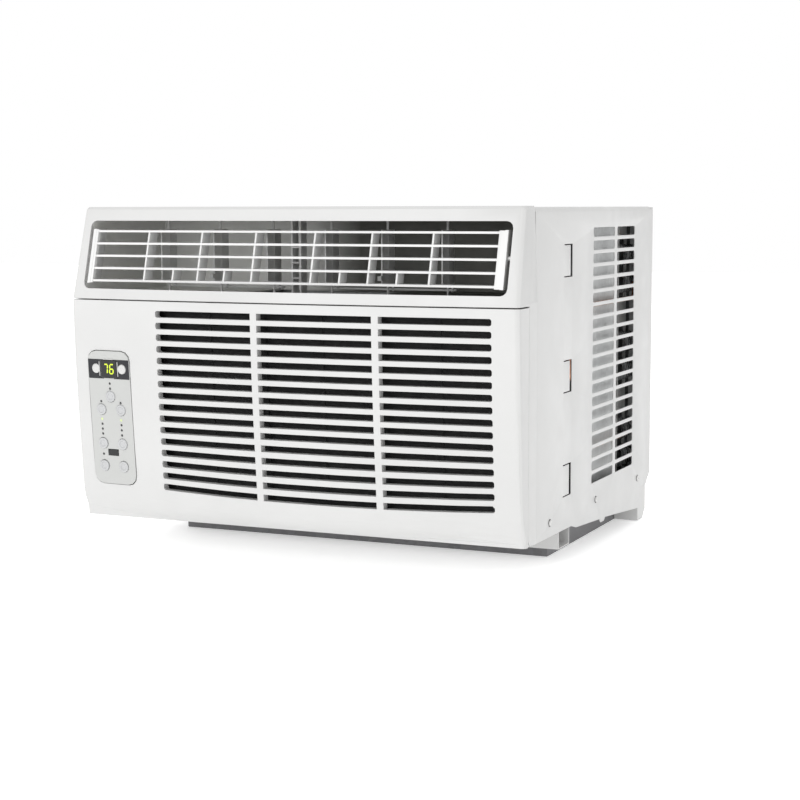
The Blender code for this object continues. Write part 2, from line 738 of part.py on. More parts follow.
def make_control_internals(frame, materials):
    part("display_window", in_panel(boxes(((-0.0120, 0.0516, -0.0040), (0.0120, 0.0734, 0.0002))),
                                    frame), materials["display"])
    part("receiver_window", in_panel(boxes(((-0.0090, -0.0483, -0.0040),
                                            (0.0070, -0.0403, 0.0003))), frame),
         materials["display"])
    housing = in_panel(boxes(((-0.0400, -0.0930, -0.0240), (0.0400, 0.0930, -0.0046))), frame)
    obj = part("control_housing", housing, materials["grey_plastic"])
    cut(obj, in_panel(boxes(((-0.0380, -0.0910, -0.0220), (0.0380, 0.0910, 0.0100))), frame))
    part("control_board", in_panel(boxes(((-0.0290, -0.0800, -0.0100),
                                          (0.0290, 0.0800, -0.0084))), frame),
         materials["board"])


# =============================================================== base and cabinet
def make_base_pan(material):
    obj = part("base_pan", boxes(((-PAN_HALF, PAN_FRONT_Y, PAN_FLOOR_Z),
                                  (PAN_HALF, PAN_REAR_Y, PAN_TOP_Z))), material)
    join(obj, boxes(((-WELL_HALF, WELL_FRONT_Y, 0.0), (WELL_HALF, FOOT_Y + 0.010, 0.050))))
    foot = bmesh.new()
    outline = [(FOOT_Y, 0.0), (PAN_REAR_Y - 0.013, 0.0), (PAN_REAR_Y, 0.012),
               (PAN_REAR_Y, 0.055), (FOOT_Y, 0.055)]
    add_prism(foot, [(-PAN_HALF, y, z) for y, z in outline], (2 * PAN_HALF, 0, 0))
    join(obj, foot)
    inner = PAN_HALF - PAN
    cut(obj, boxes(((-inner, PAN_FRONT_Y + PAN, PAN_FLOOR_Z + PAN),
                    (inner, PAN_REAR_Y - PAN, PAN_TOP_Z + 0.01))))
    well = WELL_HALF - PAN
    cut(obj, boxes(((-well, WELL_FRONT_Y + PAN, PAN), (well, FOOT_Y + PAN + 0.001, 0.060))))
    cut(obj, boxes(((-inner, FOOT_Y + PAN, PAN), (inner, PAN_REAR_Y - 0.0145, 0.060))))
    cut(obj, cylinders(*[((side * (PAN_HALF - 0.01), y, SCREW_Z),
                          (side * (PAN_HALF + 0.01), y, SCREW_Z), 0.0023, 8)
                         for side in (-1, 1) for y in SCREW_Y]))
    return obj


def make_front_rail(material):
    """Channel under the pan that drops behind the window sill."""
    obj = part("front_rail", boxes(((-PAN_HALF, RAIL_Y[0], RAIL_Z[0]),
                                    (PAN_HALF, RAIL_Y[1], RAIL_Z[1]))), material)
    cut(obj, boxes(((-0.4, RAIL_Y[0] + PAN, RAIL_Z[0] + PAN),
                    (0.4, RAIL_Y[1] - PAN, RAIL_Z[1] + 0.01))))
    return obj


def make_cabinet_wrap(material):
    """Folded steel cover: both sides and the top, with vents and sash hooks."""
    profile = [(-WRAP_HALF, 0.018)]
    for step in range(5):
        angle = pi - 0.5 * pi * step / 4
        profile.append((-WRAP_HALF + WRAP_R + WRAP_R * cos(angle),
                        WRAP_TOP_Z - WRAP_R + WRAP_R * sin(angle)))
    profile += [(-x, z) for x, z in reversed(profile)]
    bm = bmesh.new()
    front = [bm.verts.new((x, WRAP_FRONT_Y, z)) for x, z in profile]
    rear = [bm.verts.new((x, WRAP_REAR_Y, z)) for x, z in profile]
    for i in range(len(profile) - 1):
        bm.faces.new((front[i], front[i + 1], rear[i + 1], rear[i]))
    bmesh.ops.recalc_face_normals(bm, faces=bm.faces[:])
    if bm.faces[:][0].normal.x > 0:
        bmesh.ops.reverse_faces(bm, faces=bm.faces[:])
    obj = part("cabinet_wrap", bm, material)
    solidify = obj.modifiers.new("sheet", "SOLIDIFY")
    solidify.thickness = STEEL
    solidify.offset = -1.0
    solidify.use_even_offset = True

    hem = bmesh.new()
    lower_edge = [(WRAP_FRONT_Y - 0.01, 0.046), (-0.072, 0.044), (-0.052, 0.039), (0.045, 0.033),
                  (0.050, 0.028), (0.064, 0.028), (0.069, 0.032), (0.200, 0.021),
                  (0.226, 0.019), (0.230, 0.048), (0.263, 0.048), (0.270, 0.056),
                  (WRAP_REAR_Y + 0.01, 0.060), (WRAP_REAR_Y + 0.01, 0.0), (WRAP_FRONT_Y - 0.01, 0.0)]
    add_prism(hem, [(-0.4, y, z) for y, z in lower_edge], (0.8, 0, 0))
    cut(obj, hem)

    vents = bmesh.new()
    for row in range(VENT_ROWS):
        z = VENT_LOW_Z + row * VENT_PITCH
        for y0, y1 in VENT_COLUMNS:
            for side in (-1, 1):
                xs = sorted((side * (WRAP_HALF - 0.005), side * (WRAP_HALF + 0.005)))
                add_box(vents, (xs[0], y0, z - VENT_H / 2), (xs[1], y1, z + VENT_H / 2))
    cut(obj, vents)

    hooks = bmesh.new()
    slit = 0.0012
    for z in HOOK_Z:
        for side in (-1, 1):
            xs = sorted((side * (WRAP_HALF - 0.005), side * (WRAP_HALF + 0.005)))
            y0, y1, low, high = *HOOK_Y, z - HOOK_H / 2, z + HOOK_H / 2
            outline = [(y0, high), (y1, high), (y1, low), (y0, low), (y0, low + slit),
                       (y1 - 0.006, low + slit), (y1 - 0.006, high - slit), (y0, high - slit)]
            add_prism(hooks, [(xs[0], y, zz) for y, zz in outline], (xs[1] - xs[0], 0, 0))
    cut(obj, hooks)
    cut(obj, cylinders(*[((side * (WRAP_HALF - 0.01), y, SCREW_Z),
                          (side * (WRAP_HALF + 0.01), y, SCREW_Z), 0.0023, 8)
                         for side in (-1, 1) for y in SCREW_Y]))
    return obj


def make_cabinet_screws(material):
    """Sheet metal screws, head outwards, three on each side."""
    profile = [(0.0, 0.0020), (0.0022, 0.0019), (0.0040, 0.0009), (0.0042, 0.0),
               (0.0019, 0.0), (0.0019, -0.0070), (0.0, -0.0090)]
    for side, word in ((-1, "left"), (1, "right")):
        for number, y in enumerate(SCREW_Y, 1):
            lathe(f"cabinet_screw_{word}_{number}", profile, material,
                  (side * (WRAP_HALF + GAP), y, SCREW_Z), axis=(side, 0, 0), steps=12)


def make_rear_panel(material):
    """Slotted guard over the outdoor coil."""
    half, low, high = WRAP_HALF - 0.001, 0.0605, WRAP_TOP_Z - 0.001
    front = WRAP_REAR_Y + 0.0005
    obj = part("rear_panel", boxes(((-half, front, low), (half, REAR_Y, high))), material)
    cut(obj, boxes(((-half + STEEL, front - 0.01, low + STEEL),
                    (half - STEEL, REAR_Y - STEEL, high - STEEL))))
    slots = bmesh.new()
    columns, rows = 4, 14
    side_rim, end_rim = 0.052, 0.015
    web_x, web_z = 0.010, 0.008
    pitch_x = 2 * (half - side_rim) / columns
    pitch_z = (high - low - 2 * end_rim) / rows
    for column in range(columns):
        for row in range(rows):
            x = -half + side_rim + column * pitch_x + web_x / 2
            z = low + end_rim + row * pitch_z + web_z / 2
            add_box(slots, (x, REAR_Y - 0.004, z),
                    (x + pitch_x - web_x, REAR_Y + 0.004, z + pitch_z - web_z))
    cut(obj, slots)
    return obj


def make_bulkhead(material):
    """Sheet wall between the room side and the outdoor side."""
    y = -0.0670
    obj = part("bulkhead", boxes(((-0.2925, y, PAN_FLOOR_Z + PAN + GAP),
                                  (0.2740, y + STEEL, 0.4360))), material)
    cut(obj, cylinders(((AXIS_X, y - 0.02, AXIS_Z), (AXIS_X, y + 0.02, AXIS_Z), 0.0200, 16)))
    return obj


# =============================================================== air and cold parts
def make_blower_scroll(material):
    """Spiral housing round the blower, open upwards into the duct."""
    front, back = -0.1880, -0.0685
    top = DUCT_LOW_Z - GAP
    plate = boxes(((-0.112, front, 0.074), (0.160, front + 0.002, top)))
    obj = part("blower_scroll", plate, material)
    start, sweep, small, growth = radians(50), radians(230), 0.092, 0.043
    steps = 18
    wall = [(AXIS_X + small * cos(start), top)]
    for step in range(steps + 1):
        t = step / steps
        angle = start - sweep * t
        radius = small + growth * t
        wall.append((AXIS_X + radius * cos(angle), AXIS_Z + radius * sin(angle)))
    wall.append((wall[-1][0], top))
    centre = Vector((AXIS_X, AXIS_Z))
    outer = []
    for i, (x, z) in enumerate(wall):
        before = Vector(wall[max(0, i - 1)])
        after = Vector(wall[min(len(wall) - 1, i + 1)])
        along = (after - before).normalized()
        normal = Vector((along.y, -along.x))
        if normal.dot(Vector((x, z)) - centre) < 0:
            normal.negate()
        outer.append((x + 0.002 * normal.x, z + 0.002 * normal.y))
    outer[0] = (wall[0][0] + 0.002, top)
    outer[-1] = (wall[-1][0] - 0.002, top)
    spiral = bmesh.new()
    add_prism(spiral, [(x, front + 0.001, z) for x, z in wall + outer[::-1]],
              (0, back - front - 0.001, 0))
    join(obj, spiral)
    cut(obj, cylinders(((AXIS_X, front - 0.01, AXIS_Z), (AXIS_X, front + 0.01, AXIS_Z),
                        0.070, 24)))
    return obj


def make_blower_wheel(material):
    """Squirrel-cage wheel: back disc with hub, front ring, blades between."""
    y0, y1 = WHEEL_Y
    bore = SHAFT_R + GAP
    disc = lathe("blower_wheel", [(0.012, 0.020), (0.012, 0.003), (WHEEL_R, 0.003),
                                  (WHEEL_R, 0.0), (bore, 0.0), (bore, 0.020)],
                 material, (AXIS_X, y1, AXIS_Z), axis=(0, -1, 0), steps=24)
    blades = bmesh.new()
    count = 20
    for i in range(count):
        turn = Matrix.Rotation(2 * pi * i / count, 4, "Y")
        lean = Matrix.Translation((WHEEL_R - 0.008, 0, 0)) @ Matrix.Rotation(radians(35), 4, "Y")
        place = Matrix.Translation((AXIS_X, 0, AXIS_Z)) @ turn @ lean
        verts = add_box(blades, (-0.0065, y0 + 0.001, -0.0008), (0.0065, y1 - 0.0012, 0.0008))
        bmesh.ops.transform(blades, matrix=place, verts=verts)
    join(disc, blades)
    ring = lathe("wheel_ring", [(WHEEL_R, 0.004), (WHEEL_R, 0.0), (WHEEL_R - 0.014, 0.0),
                                (WHEEL_R - 0.014, 0.004)],
                 material, (AXIS_X, y0 + 0.004, AXIS_Z), axis=(0, -1, 0), steps=24)
    move_to_cutters(ring)
    boolean(disc, "UNION", ring)
    return disc


def move_to_cutters(obj):
    PARTS.objects.unlink(obj)
    CUTTERS.objects.link(obj)
    obj.hide_render = True
    obj.display_type = "WIRE"


def add_fan_blade(bm, place):
    """A blade that widens and flattens towards its tip."""
    inner, outer, half_chord = 0.026, FAN_R - 0.003, 0.034
    blade = bmesh.new()
    add_box(blade, (inner, -0.001, -half_chord), (outer, 0.001, half_chord))
    lengthwise = [e for e in blade.edges if abs(e.verts[0].co.x - e.verts[1].co.x) > 0.05]
    bmesh.ops.subdivide_edges(blade, edges=lengthwise, cuts=2, use_grid_fill=True)
    for vert in blade.verts:
        t = (vert.co.x - inner) / (outer - inner)
        vert.co.z *= 0.55 + 0.45 * t
        vert.co = Matrix.Rotation(radians(34 - 16 * t), 4, "X") @ vert.co
    bmesh.ops.transform(blade, matrix=place, verts=blade.verts[:])
    mesh = bpy.data.meshes.new("blade")
    blade.to_mesh(mesh)
    blade.free()
    bm.from_mesh(mesh)


def make_condenser_fan(material):
    y0, y1 = FAN_Y
    bore = SHAFT_R + GAP
    hub = lathe("condenser_fan", [(0.026, 0.024), (0.030, 0.020), (0.030, 0.0), (bore, 0.0),
                                  (bore, 0.024)],
                material, (AXIS_X, y0, AXIS_Z), axis=(0, 1, 0), steps=20)
    blades = bmesh.new()
    count = 5
    for i in range(count):
        place = (Matrix.Translation((AXIS_X, (y0 + y1) / 2, AXIS_Z))
                 @ Matrix.Rotation(2 * pi * i / count, 4, "Y"))
        add_fan_blade(blades, place)
    join(hub, blades)
    ring = lathe("slinger_ring", [(FAN_R, 0.008), (FAN_R, 0.0), (FAN_R - 0.0045, 0.0),
                                  (FAN_R - 0.0045, 0.008)],
                 material, (AXIS_X, (y0 + y1) / 2 - 0.004, AXIS_Z), axis=(0, 1, 0), steps=32)
    move_to_cutters(ring)
    boolean(hub, "UNION", ring)
    return hub


def make_motor_group(materials):
    lathe("fan_shaft", [(0.0, 0.320), (0.003, 0.320), (SHAFT_R, 0.319), (SHAFT_R, 0.001),
                        (0.003, 0.0), (0.0, 0.0)],
          materials["bare_steel"], (AXIS_X, -0.165, AXIS_Z), axis=(0, 1, 0), steps=12)
    bore = SHAFT_R + 0.0005
    lathe("fan_motor", [(0.012, 0.104), (0.012, 0.098), (0.036, 0.096), (0.048, 0.088),
                        (0.050, 0.080), (0.050, 0.014), (0.048, 0.008), (0.036, 0.002),
                        (0.012, 0.0), (bore, 0.0), (bore, 0.104)],
          materials["dark_steel"], (AXIS_X, -0.050, AXIS_Z), axis=(0, 1, 0), steps=20)
    y = 0.0545
    bracket = part("motor_bracket", boxes(((AXIS_X - 0.045, y, PAN + GAP),
                                           (AXIS_X + 0.045, y + 0.002, AXIS_Z + 0.045))),
                   materials["zinc"])
    join(bracket, boxes(((AXIS_X - 0.045, y - 0.030, PAN + GAP),
                         (AXIS_X + 0.045, y + 0.001, PAN + GAP + 0.002))))
    cut(bracket, cylinders(((AXIS_X, y - 0.01, AXIS_Z), (AXIS_X, y + 0.01, AXIS_Z), 0.016, 16)))


def make_fan_shroud(material):
    """Orifice plate with a collar round the fan and a return down each side."""
    half, low, high = 0.283, PAN_FLOOR_Z + PAN + GAP, 0.4340
    obj = part("fan_shroud", boxes(((-half, SHROUD_Y, low), (half, SHROUD_Y + STEEL, high))),
               material)
    sides = bmesh.new()
    for side in (-1, 1):
        xs = sorted((side * half, side * (half - STEEL)))
        add_box(sides, (xs[0], 0.0450, low + 0.001), (xs[1], SHROUD_Y + 0.0005, high - 0.001))
    join(obj, sides)
    cut(obj, cylinders(((AXIS_X, SHROUD_Y - 0.01, AXIS_Z), (AXIS_X, SHROUD_Y + 0.01, AXIS_Z),
                        SHROUD_HOLE_R, 32)))
    collar = lathe("shroud_collar", [(SHROUD_HOLE_R + 0.0012, 0.030), (SHROUD_HOLE_R + 0.0012, 0.0),
                                     (SHROUD_HOLE_R - 0.0006, 0.0), (SHROUD_HOLE_R - 0.0006, 0.030)],
                   material, (AXIS_X, SHROUD_Y - 0.0290, AXIS_Z), axis=(0, 1, 0), steps=32)
    move_to_cutters(collar)
    boolean(obj, "UNION", collar)
    return obj


def add_hairpin(bm, x, y, z_low, z_high, radius):
    """A U-bend that joins two tubes at the right end of a coil."""
    reach = (z_high - z_low) / 2
    middle = (z_high + z_low) / 2
    points = [(x - 0.004, y, z_low), (x + 0.002, y, z_low)]
    for step in range(1, 4):
        angle = -pi / 2 + pi * step / 4
        points.append((x + 0.002 + reach * cos(angle), y, middle + reach * sin(angle)))
    points += [(x + 0.002, y, z_high), (x - 0.004, y, z_high)]
    bm.from_mesh(tube_mesh(points, radius, 1))


def make_coil(name, low, high, rows_y, bends_z, material):
    """A finned block with U-bends at its right end, each BEND_H high."""
    obj = part(name, boxes((low, high)), material)
    bends = bmesh.new()
    for y in rows_y:
        for z in bends_z:
            add_hairpin(bends, high[0], y, z, z + BEND_H, 0.0038)
    join(obj, bends)
    return obj


def make_condenser_end_plate(material):
    """Galvanised plate over the coil's right end; the bends stand in its windows."""
    x, y0, y1 = COIL_END_X + GAP, 0.2030, 0.2416
    obj = part("condenser_end_plate", boxes(((x, y0, 0.0500), (x + STEEL, y1, 0.4320))), material)
    windows = bmesh.new()
    for z in PLATE_WINDOW_Z:
        add_box(windows, (x - 0.01, y0 + 0.0035, z), (x + 0.01, y1 - 0.0116, z + PLATE_WINDOW_H))
    cut(obj, windows)
    return obj


def make_compressor(materials):
    cx, cy, _ = COMPRESSOR
    base = 0.0180
    obj = lathe("compressor", [(0.0, 0.236), (0.020, 0.233), (0.042, 0.221), (0.054, 0.202),
                               (COMPRESSOR_R, 0.186), (COMPRESSOR_R, 0.034), (0.050, 0.016),
                               (0.030, 0.004), (0.0, 0.004)],
                materials["black_steel"], (cx, cy, base), steps=24)
    join(obj, boxes(((cx - 0.060, cy - 0.060, base), (cx + 0.060, cy + 0.060, base + 0.005))))
    feet = ((cx - 0.050, cy - 0.050), (cx + 0.050, cy - 0.050), (cx, cy + 0.052))
    cut(obj, cylinders(*[((x, y, base - 0.01), (x, y, base + 0.008), 0.0062, 12)
                         for x, y in feet]))
    for number, (x, y) in enumerate(feet, 1):
        lathe(f"compressor_mount_{number}", [(0.009, 0.0158), (0.009, 0.0), (0.003, 0.0),
                                             (0.003, 0.0200), (0.0058, 0.0200), (0.0058, 0.0158)],
              materials["rubber"], (x, y, PAN + GAP), steps=12)
    lathe("accumulator", [(0.0, 0.132), (0.010, 0.128), (0.017, 0.116), (0.017, 0.016),
                          (0.010, 0.004), (0.0, 0.0)],
          materials["black_steel"], (0.2640, cy - 0.012, 0.085), steps=16)


def make_tubes(material):
    cx, cy, _ = COMPRESSOR
    lane = 0.2890
    high = 0.3138
    discharge = bent([(cx, cy, 0.2555), (cx, cy, high), (lane, cy, high), (lane, 0.2200, high),
                      (lane, 0.2200, high + 0.0220)], 0.010)
    part("discharge_tube", tube_mesh(discharge, 0.0032, 1), material)
    suction = bent([(0.2725, -0.2120, 0.3080), (0.2860, -0.2120, 0.3080),
                    (0.2860, cy - 0.012, 0.3080), (0.2640, cy - 0.012, 0.3080),
                    (0.2640, cy - 0.012, 0.2176)], 0.010)
    part("suction_tube", tube_mesh(suction, 0.0044, 2), material)
    coil = []
    turns, steps, radius = 3, 8, 0.013
    for step in range(turns * steps + 1):
        angle = -2 * pi * step / steps
        x = 0.2915 - 0.0040 * step / steps
        coil.append((x, -0.120 + radius * sin(angle), 0.150 - radius * cos(angle)))
    between_rows = -0.2095
    route = [(0.2735, between_rows, 0.137), (0.2915, between_rows, 0.137), *coil,
             (0.2915, -0.0800, 0.137), (0.2915, -0.0600, 0.1288), (0.2915, 0.2150, 0.1288)]
    part("capillary_tube", tube_mesh(route, 0.0013, 1), material)


def make_electrics(materials):
    low, high = (-0.2900, -0.1860, 0.0790), (-0.1950, -0.0700, 0.3250)
    obj = part("electrical_box", boxes((low, high)), materials["zinc"])
    wall = STEEL
    cut(obj, boxes(((low[0] + wall, low[1] + wall, low[2] + wall),
                    (high[0] + 0.01, high[1] - wall, high[2] - wall))))
    lathe("run_capacitor", [(0.0, 0.084), (0.021, 0.084), (0.022, 0.082), (0.022, 0.0),
                            (0.0, 0.0)],
          materials["aluminium"], (-0.2500, -0.1150, low[2] + wall + GAP), steps=16)


# =========================================================================== build
clear_scene()
PARTS = new_collection("window_air_conditioner")
CUTTERS = new_collection("cutters")

MATERIALS = {
    "white_plastic": principled("white_plastic", (0.86, 0.86, 0.85), 0.38),
    "cabinet_paint": principled("cabinet_paint", (0.80, 0.80, 0.79), 0.45, 0.1),
    "grey_plastic": principled("grey_plastic", (0.55, 0.56, 0.57), 0.5),
    "panel_plastic": principled("panel_plastic", (0.78, 0.79, 0.80), 0.4),
    "white_button": principled("white_button", (0.9, 0.9, 0.9), 0.35),
    "silver_button": principled("silver_button", (0.66, 0.68, 0.69), 0.25, 0.3),
    "display": principled("display", (0.02, 0.02, 0.02), 0.15),
    "board": principled("board", (0.05, 0.22, 0.10), 0.6),
    "net": principled("net", (0.16, 0.17, 0.18), 0.8),
    "foam": principled("foam", (0.72, 0.52, 0.28), 0.95),
    "scroll_foam": principled("scroll_foam", (0.82, 0.82, 0.80), 0.9),
    "black_plastic": principled("black_plastic", (0.05, 0.05, 0.05), 0.5),
    "fins": principled("fins", (0.55, 0.57, 0.58), 0.4, 0.8),
    "zinc": principled("zinc", (0.62, 0.63, 0.64), 0.42, 0.8),
    "aluminium": principled("aluminium", (0.7, 0.7, 0.71), 0.35, 0.9),
    "bare_steel": principled("bare_steel", (0.6, 0.6, 0.6), 0.3, 1.0),
    "dark_steel": principled("dark_steel", (0.16, 0.16, 0.17), 0.5, 0.5),
    "black_steel": principled("black_steel", (0.03, 0.03, 0.03), 0.4, 0.4),
    "rubber": principled("rubber", (0.04, 0.04, 0.04), 0.85),
    "copper": principled("copper", (0.62, 0.33, 0.20), 0.35, 1.0),
}

VANE_XS = [x + VANE_OFFSET_X for x in RIB_X]

make_base_pan(MATERIALS["cabinet_paint"])
make_front_rail(MATERIALS["cabinet_paint"])
make_cabinet_wrap(MATERIALS["cabinet_paint"])
make_rear_panel(MATERIALS["cabinet_paint"])
make_cabinet_screws(MATERIALS["zinc"])
make_front_frame(MATERIALS["white_plastic"])
make_intake_grille(MATERIALS["white_plastic"])
make_air_filter(MATERIALS["net"])

make_louvre_frame(MATERIALS["white_plastic"])
for number, vane_x in enumerate(VANE_XS, 1):
    make_vane(f"vane_{number}", vane_x, number in (2, 5), MATERIALS["white_plastic"])
make_link("vane_link_left", VANE_XS[:3], MATERIALS["white_plastic"])
make_link("vane_link_right", VANE_XS[3:], MATERIALS["white_plastic"])
make_discharge_duct(MATERIALS["grey_plastic"], VANE_XS)
make_duct_pillar(MATERIALS["white_plastic"])
make_foam_strip(MATERIALS["foam"])

PANEL_FRAME = panel_frame()
make_control_panel(PANEL_FRAME, MATERIALS["panel_plastic"])
make_control_internals(PANEL_FRAME, MATERIALS)
for button, (button_x, button_z, button_r) in BUTTONS.items():
    finish = "white_button" if button.startswith("temp") else "silver_button"
    make_button(button, PANEL_FRAME, button_x, button_z, button_r, MATERIALS[finish])

make_bulkhead(MATERIALS["zinc"])
make_blower_scroll(MATERIALS["scroll_foam"])
make_blower_wheel(MATERIALS["black_plastic"])
make_condenser_fan(MATERIALS["black_plastic"])
make_motor_group(MATERIALS)
make_fan_shroud(MATERIALS["zinc"])
make_coil("evaporator_coil", (-0.188, -0.2270, 0.0480), (0.2720, -0.1920, 0.3180),
          (-0.2180, -0.2010), [0.064 + 0.052 * i for i in range(5)], MATERIALS["fins"])
make_coil("condenser_coil", (-0.2800, 0.2050, 0.0500), (COIL_END_X, 0.2620, 0.4300),
          (0.2130, 0.2240, 0.2510), [z + lift for z in PLATE_WINDOW_Z for lift in (0.010, 0.048)],
          MATERIALS["fins"])
make_condenser_end_plate(MATERIALS["zinc"])
make_compressor(MATERIALS)
make_tubes(MATERIALS["copper"])
make_electrics(MATERIALS)
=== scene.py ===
import json
from math import cos, pi, radians, sin

import bmesh
import bpy
from mathutils import Matrix, Vector

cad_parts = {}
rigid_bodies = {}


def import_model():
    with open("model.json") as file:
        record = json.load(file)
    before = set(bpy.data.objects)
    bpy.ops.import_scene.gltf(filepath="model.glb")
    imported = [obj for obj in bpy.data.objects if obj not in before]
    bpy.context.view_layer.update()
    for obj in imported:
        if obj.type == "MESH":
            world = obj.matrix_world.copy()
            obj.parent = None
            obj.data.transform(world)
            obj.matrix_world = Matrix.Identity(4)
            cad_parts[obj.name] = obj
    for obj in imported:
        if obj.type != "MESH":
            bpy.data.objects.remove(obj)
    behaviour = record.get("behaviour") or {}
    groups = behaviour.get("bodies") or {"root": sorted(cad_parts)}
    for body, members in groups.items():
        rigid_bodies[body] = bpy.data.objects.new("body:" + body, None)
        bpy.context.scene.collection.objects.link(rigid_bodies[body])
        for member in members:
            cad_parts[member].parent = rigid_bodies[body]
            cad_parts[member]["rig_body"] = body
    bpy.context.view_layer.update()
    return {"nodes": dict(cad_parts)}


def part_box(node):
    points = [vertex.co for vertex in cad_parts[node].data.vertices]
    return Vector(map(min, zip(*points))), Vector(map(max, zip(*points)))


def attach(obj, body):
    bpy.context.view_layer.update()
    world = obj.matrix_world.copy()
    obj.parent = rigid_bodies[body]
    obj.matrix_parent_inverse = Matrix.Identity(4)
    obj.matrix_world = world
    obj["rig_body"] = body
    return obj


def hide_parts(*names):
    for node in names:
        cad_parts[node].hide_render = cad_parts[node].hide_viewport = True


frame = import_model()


# ---------------------------------------------------------------- materials

class Shader:
    """A node material built up from procedural textures on object coordinates."""

    def __init__(self, name, rough, metal=0.0, specular=0.5):
        self.material = bpy.data.materials.new(name)
        self.material.use_nodes = True
        self.tree = self.material.node_tree
        self.body = self.tree.nodes["Principled BSDF"]
        self.body.inputs["Roughness"].default_value = rough
        self.body.inputs["Metallic"].default_value = metal
        self.body.inputs["Specular IOR Level"].default_value = specular
        self.place = self.tree.nodes.new("ShaderNodeTexCoord").outputs["Object"]
        self.normal = None

    def node(self, kind, **settings):
        made = self.tree.nodes.new(kind)
        for key, value in settings.items():
            setattr(made, key, value)
        return made

    def link(self, a, b):
        self.tree.links.new(a, b)

    def set(self, **values):
        for key, value in values.items():
            self.body.inputs[key.replace("_", " ")].default_value = value
        return self

    def stretched(self, scale):
        mapping = self.node("ShaderNodeMapping")
        mapping.inputs["Scale"].default_value = scale
        self.link(self.place, mapping.inputs["Vector"])
        return mapping.outputs["Vector"]

    def noise(self, scale, detail, stretch=None):
        noise = self.node("ShaderNodeTexNoise")
        noise.inputs["Scale"].default_value = scale
        noise.inputs["Detail"].default_value = detail
        self.link(self.stretched(stretch) if stretch else self.place, noise.inputs["Vector"])
        return noise.outputs["Fac"]

    def cells(self, scale, feature="F1", stretch=None, output="Distance"):
        cells = self.node("ShaderNodeTexVoronoi", feature=feature)
        cells.inputs["Scale"].default_value = scale
        self.link(self.stretched(stretch) if stretch else self.place, cells.inputs["Vector"])
        return cells.outputs[output]

    def bands(self, scale, direction, distortion=0.0):
        bands = self.node("ShaderNodeTexWave", bands_direction=direction)
        bands.inputs["Scale"].default_value = scale
        bands.inputs["Distortion"].default_value = distortion
        self.link(self.place, bands.inputs["Vector"])
        return bands.outputs["Fac"]

    def remap(self, value, low, high, start=0.3, end=0.7):
        ranged = self.node("ShaderNodeMapRange")
        ranged.inputs["From Min"].default_value = start
        ranged.inputs["From Max"].default_value = end
        ranged.inputs["To Min"].default_value = low
        ranged.inputs["To Max"].default_value = high
        self.link(value, ranged.inputs["Value"])
        return ranged.outputs["Result"]

    def cloud(self, scale, detail):
        """Soft noise spread over the whole of 0 to 1."""
        return self.remap(self.noise(scale, detail), 0.0, 1.0)

    def ramp(self, value, *stops):
        node = self.node("ShaderNodeValToRGB")
        for at, _ in stops[2:]:
            node.color_ramp.elements.new(at)
        for element, (at, colour) in zip(node.color_ramp.elements, sorted(stops)):
            element.position = at
            element.color = (*colour, 1.0)
        self.link(value, node.inputs["Fac"])
        return node.outputs["Color"]

    def mixed(self, value, a, b):
        mix = self.node("ShaderNodeMix", data_type="RGBA")
        self.link(value, mix.inputs["Factor"])
        for socket, colour in ((mix.inputs[6], a), (mix.inputs[7], b)):
            if isinstance(colour, tuple):
                socket.default_value = (*colour, 1.0)
            else:
                self.link(colour, socket)
        return mix.outputs[2]

    def colour(self, socket):
        self.link(socket, self.body.inputs["Base Color"])
        return self

    def tones(self, value, colour, dark, light):
        """Base colour that drifts between a darker and a lighter tone of one colour."""
        return self.colour(self.mixed(value, tint(colour, dark), tint(colour, light)))

    def roughness(self, value, low, high, **limits):
        self.link(self.remap(value, low, high, **limits), self.body.inputs["Roughness"])
        return self

    def bump(self, height, strength, distance):
        bump = self.node("ShaderNodeBump")
        bump.inputs["Strength"].default_value = strength
        bump.inputs["Distance"].default_value = distance
        self.link(height, bump.inputs["Height"])
        if self.normal:
            self.link(self.normal, bump.inputs["Normal"])
        self.normal = bump.outputs["Normal"]
        self.link(self.normal, self.body.inputs["Normal"])
        return self


def tint(colour, gain):
    return tuple(min(1.0, c * gain) for c in colour)


def moulded(name, colour, rough=0.45, spread=0.025, **rest):
    """Moulded plastic: faint cloudy tone, fine spark texture, slight flow waviness."""
    s = Shader(name, rough)
    s.tones(s.cloud(9.0, 4.0), colour, 1 - spread, 1 + spread)
    s.roughness(s.noise(60.0, 5.0), rough - 0.06, rough + 0.06)
    s.bump(s.noise(14.0, 1.0), 0.10, 0.0006)
    s.bump(s.noise(2600.0, 2.0), 0.12, 0.00006)
    return s.set(**rest).material


def painted(name, colour, rough=0.38):
    """Powder paint on sheet steel: orange peel over a smooth base."""
    s = Shader(name, rough)
    s.tones(s.cloud(6.0, 5.0), colour, 0.98, 1.02)
    s.roughness(s.noise(35.0, 4.0), rough - 0.05, rough + 0.07)
    s.bump(s.noise(4.0, 1.0), 0.12, 0.0010)
    return s.bump(s.cells(420.0, "SMOOTH_F1"), 0.18, 0.00008).material


def brushed(name, colour, rough=0.32, metal=1.0):
    """Steel or aluminium with fine lines along X."""
    s = Shader(name, rough, metal)
    lines = s.noise(50.0, 6.0, (1.0, 60.0, 60.0))
    s.tones(s.remap(lines, 0.0, 1.0), colour, 0.82, 1.08)
    s.roughness(s.noise(90.0, 4.0), rough - 0.08, rough + 0.12)
    return s.bump(lines, 0.2, 0.00005).material


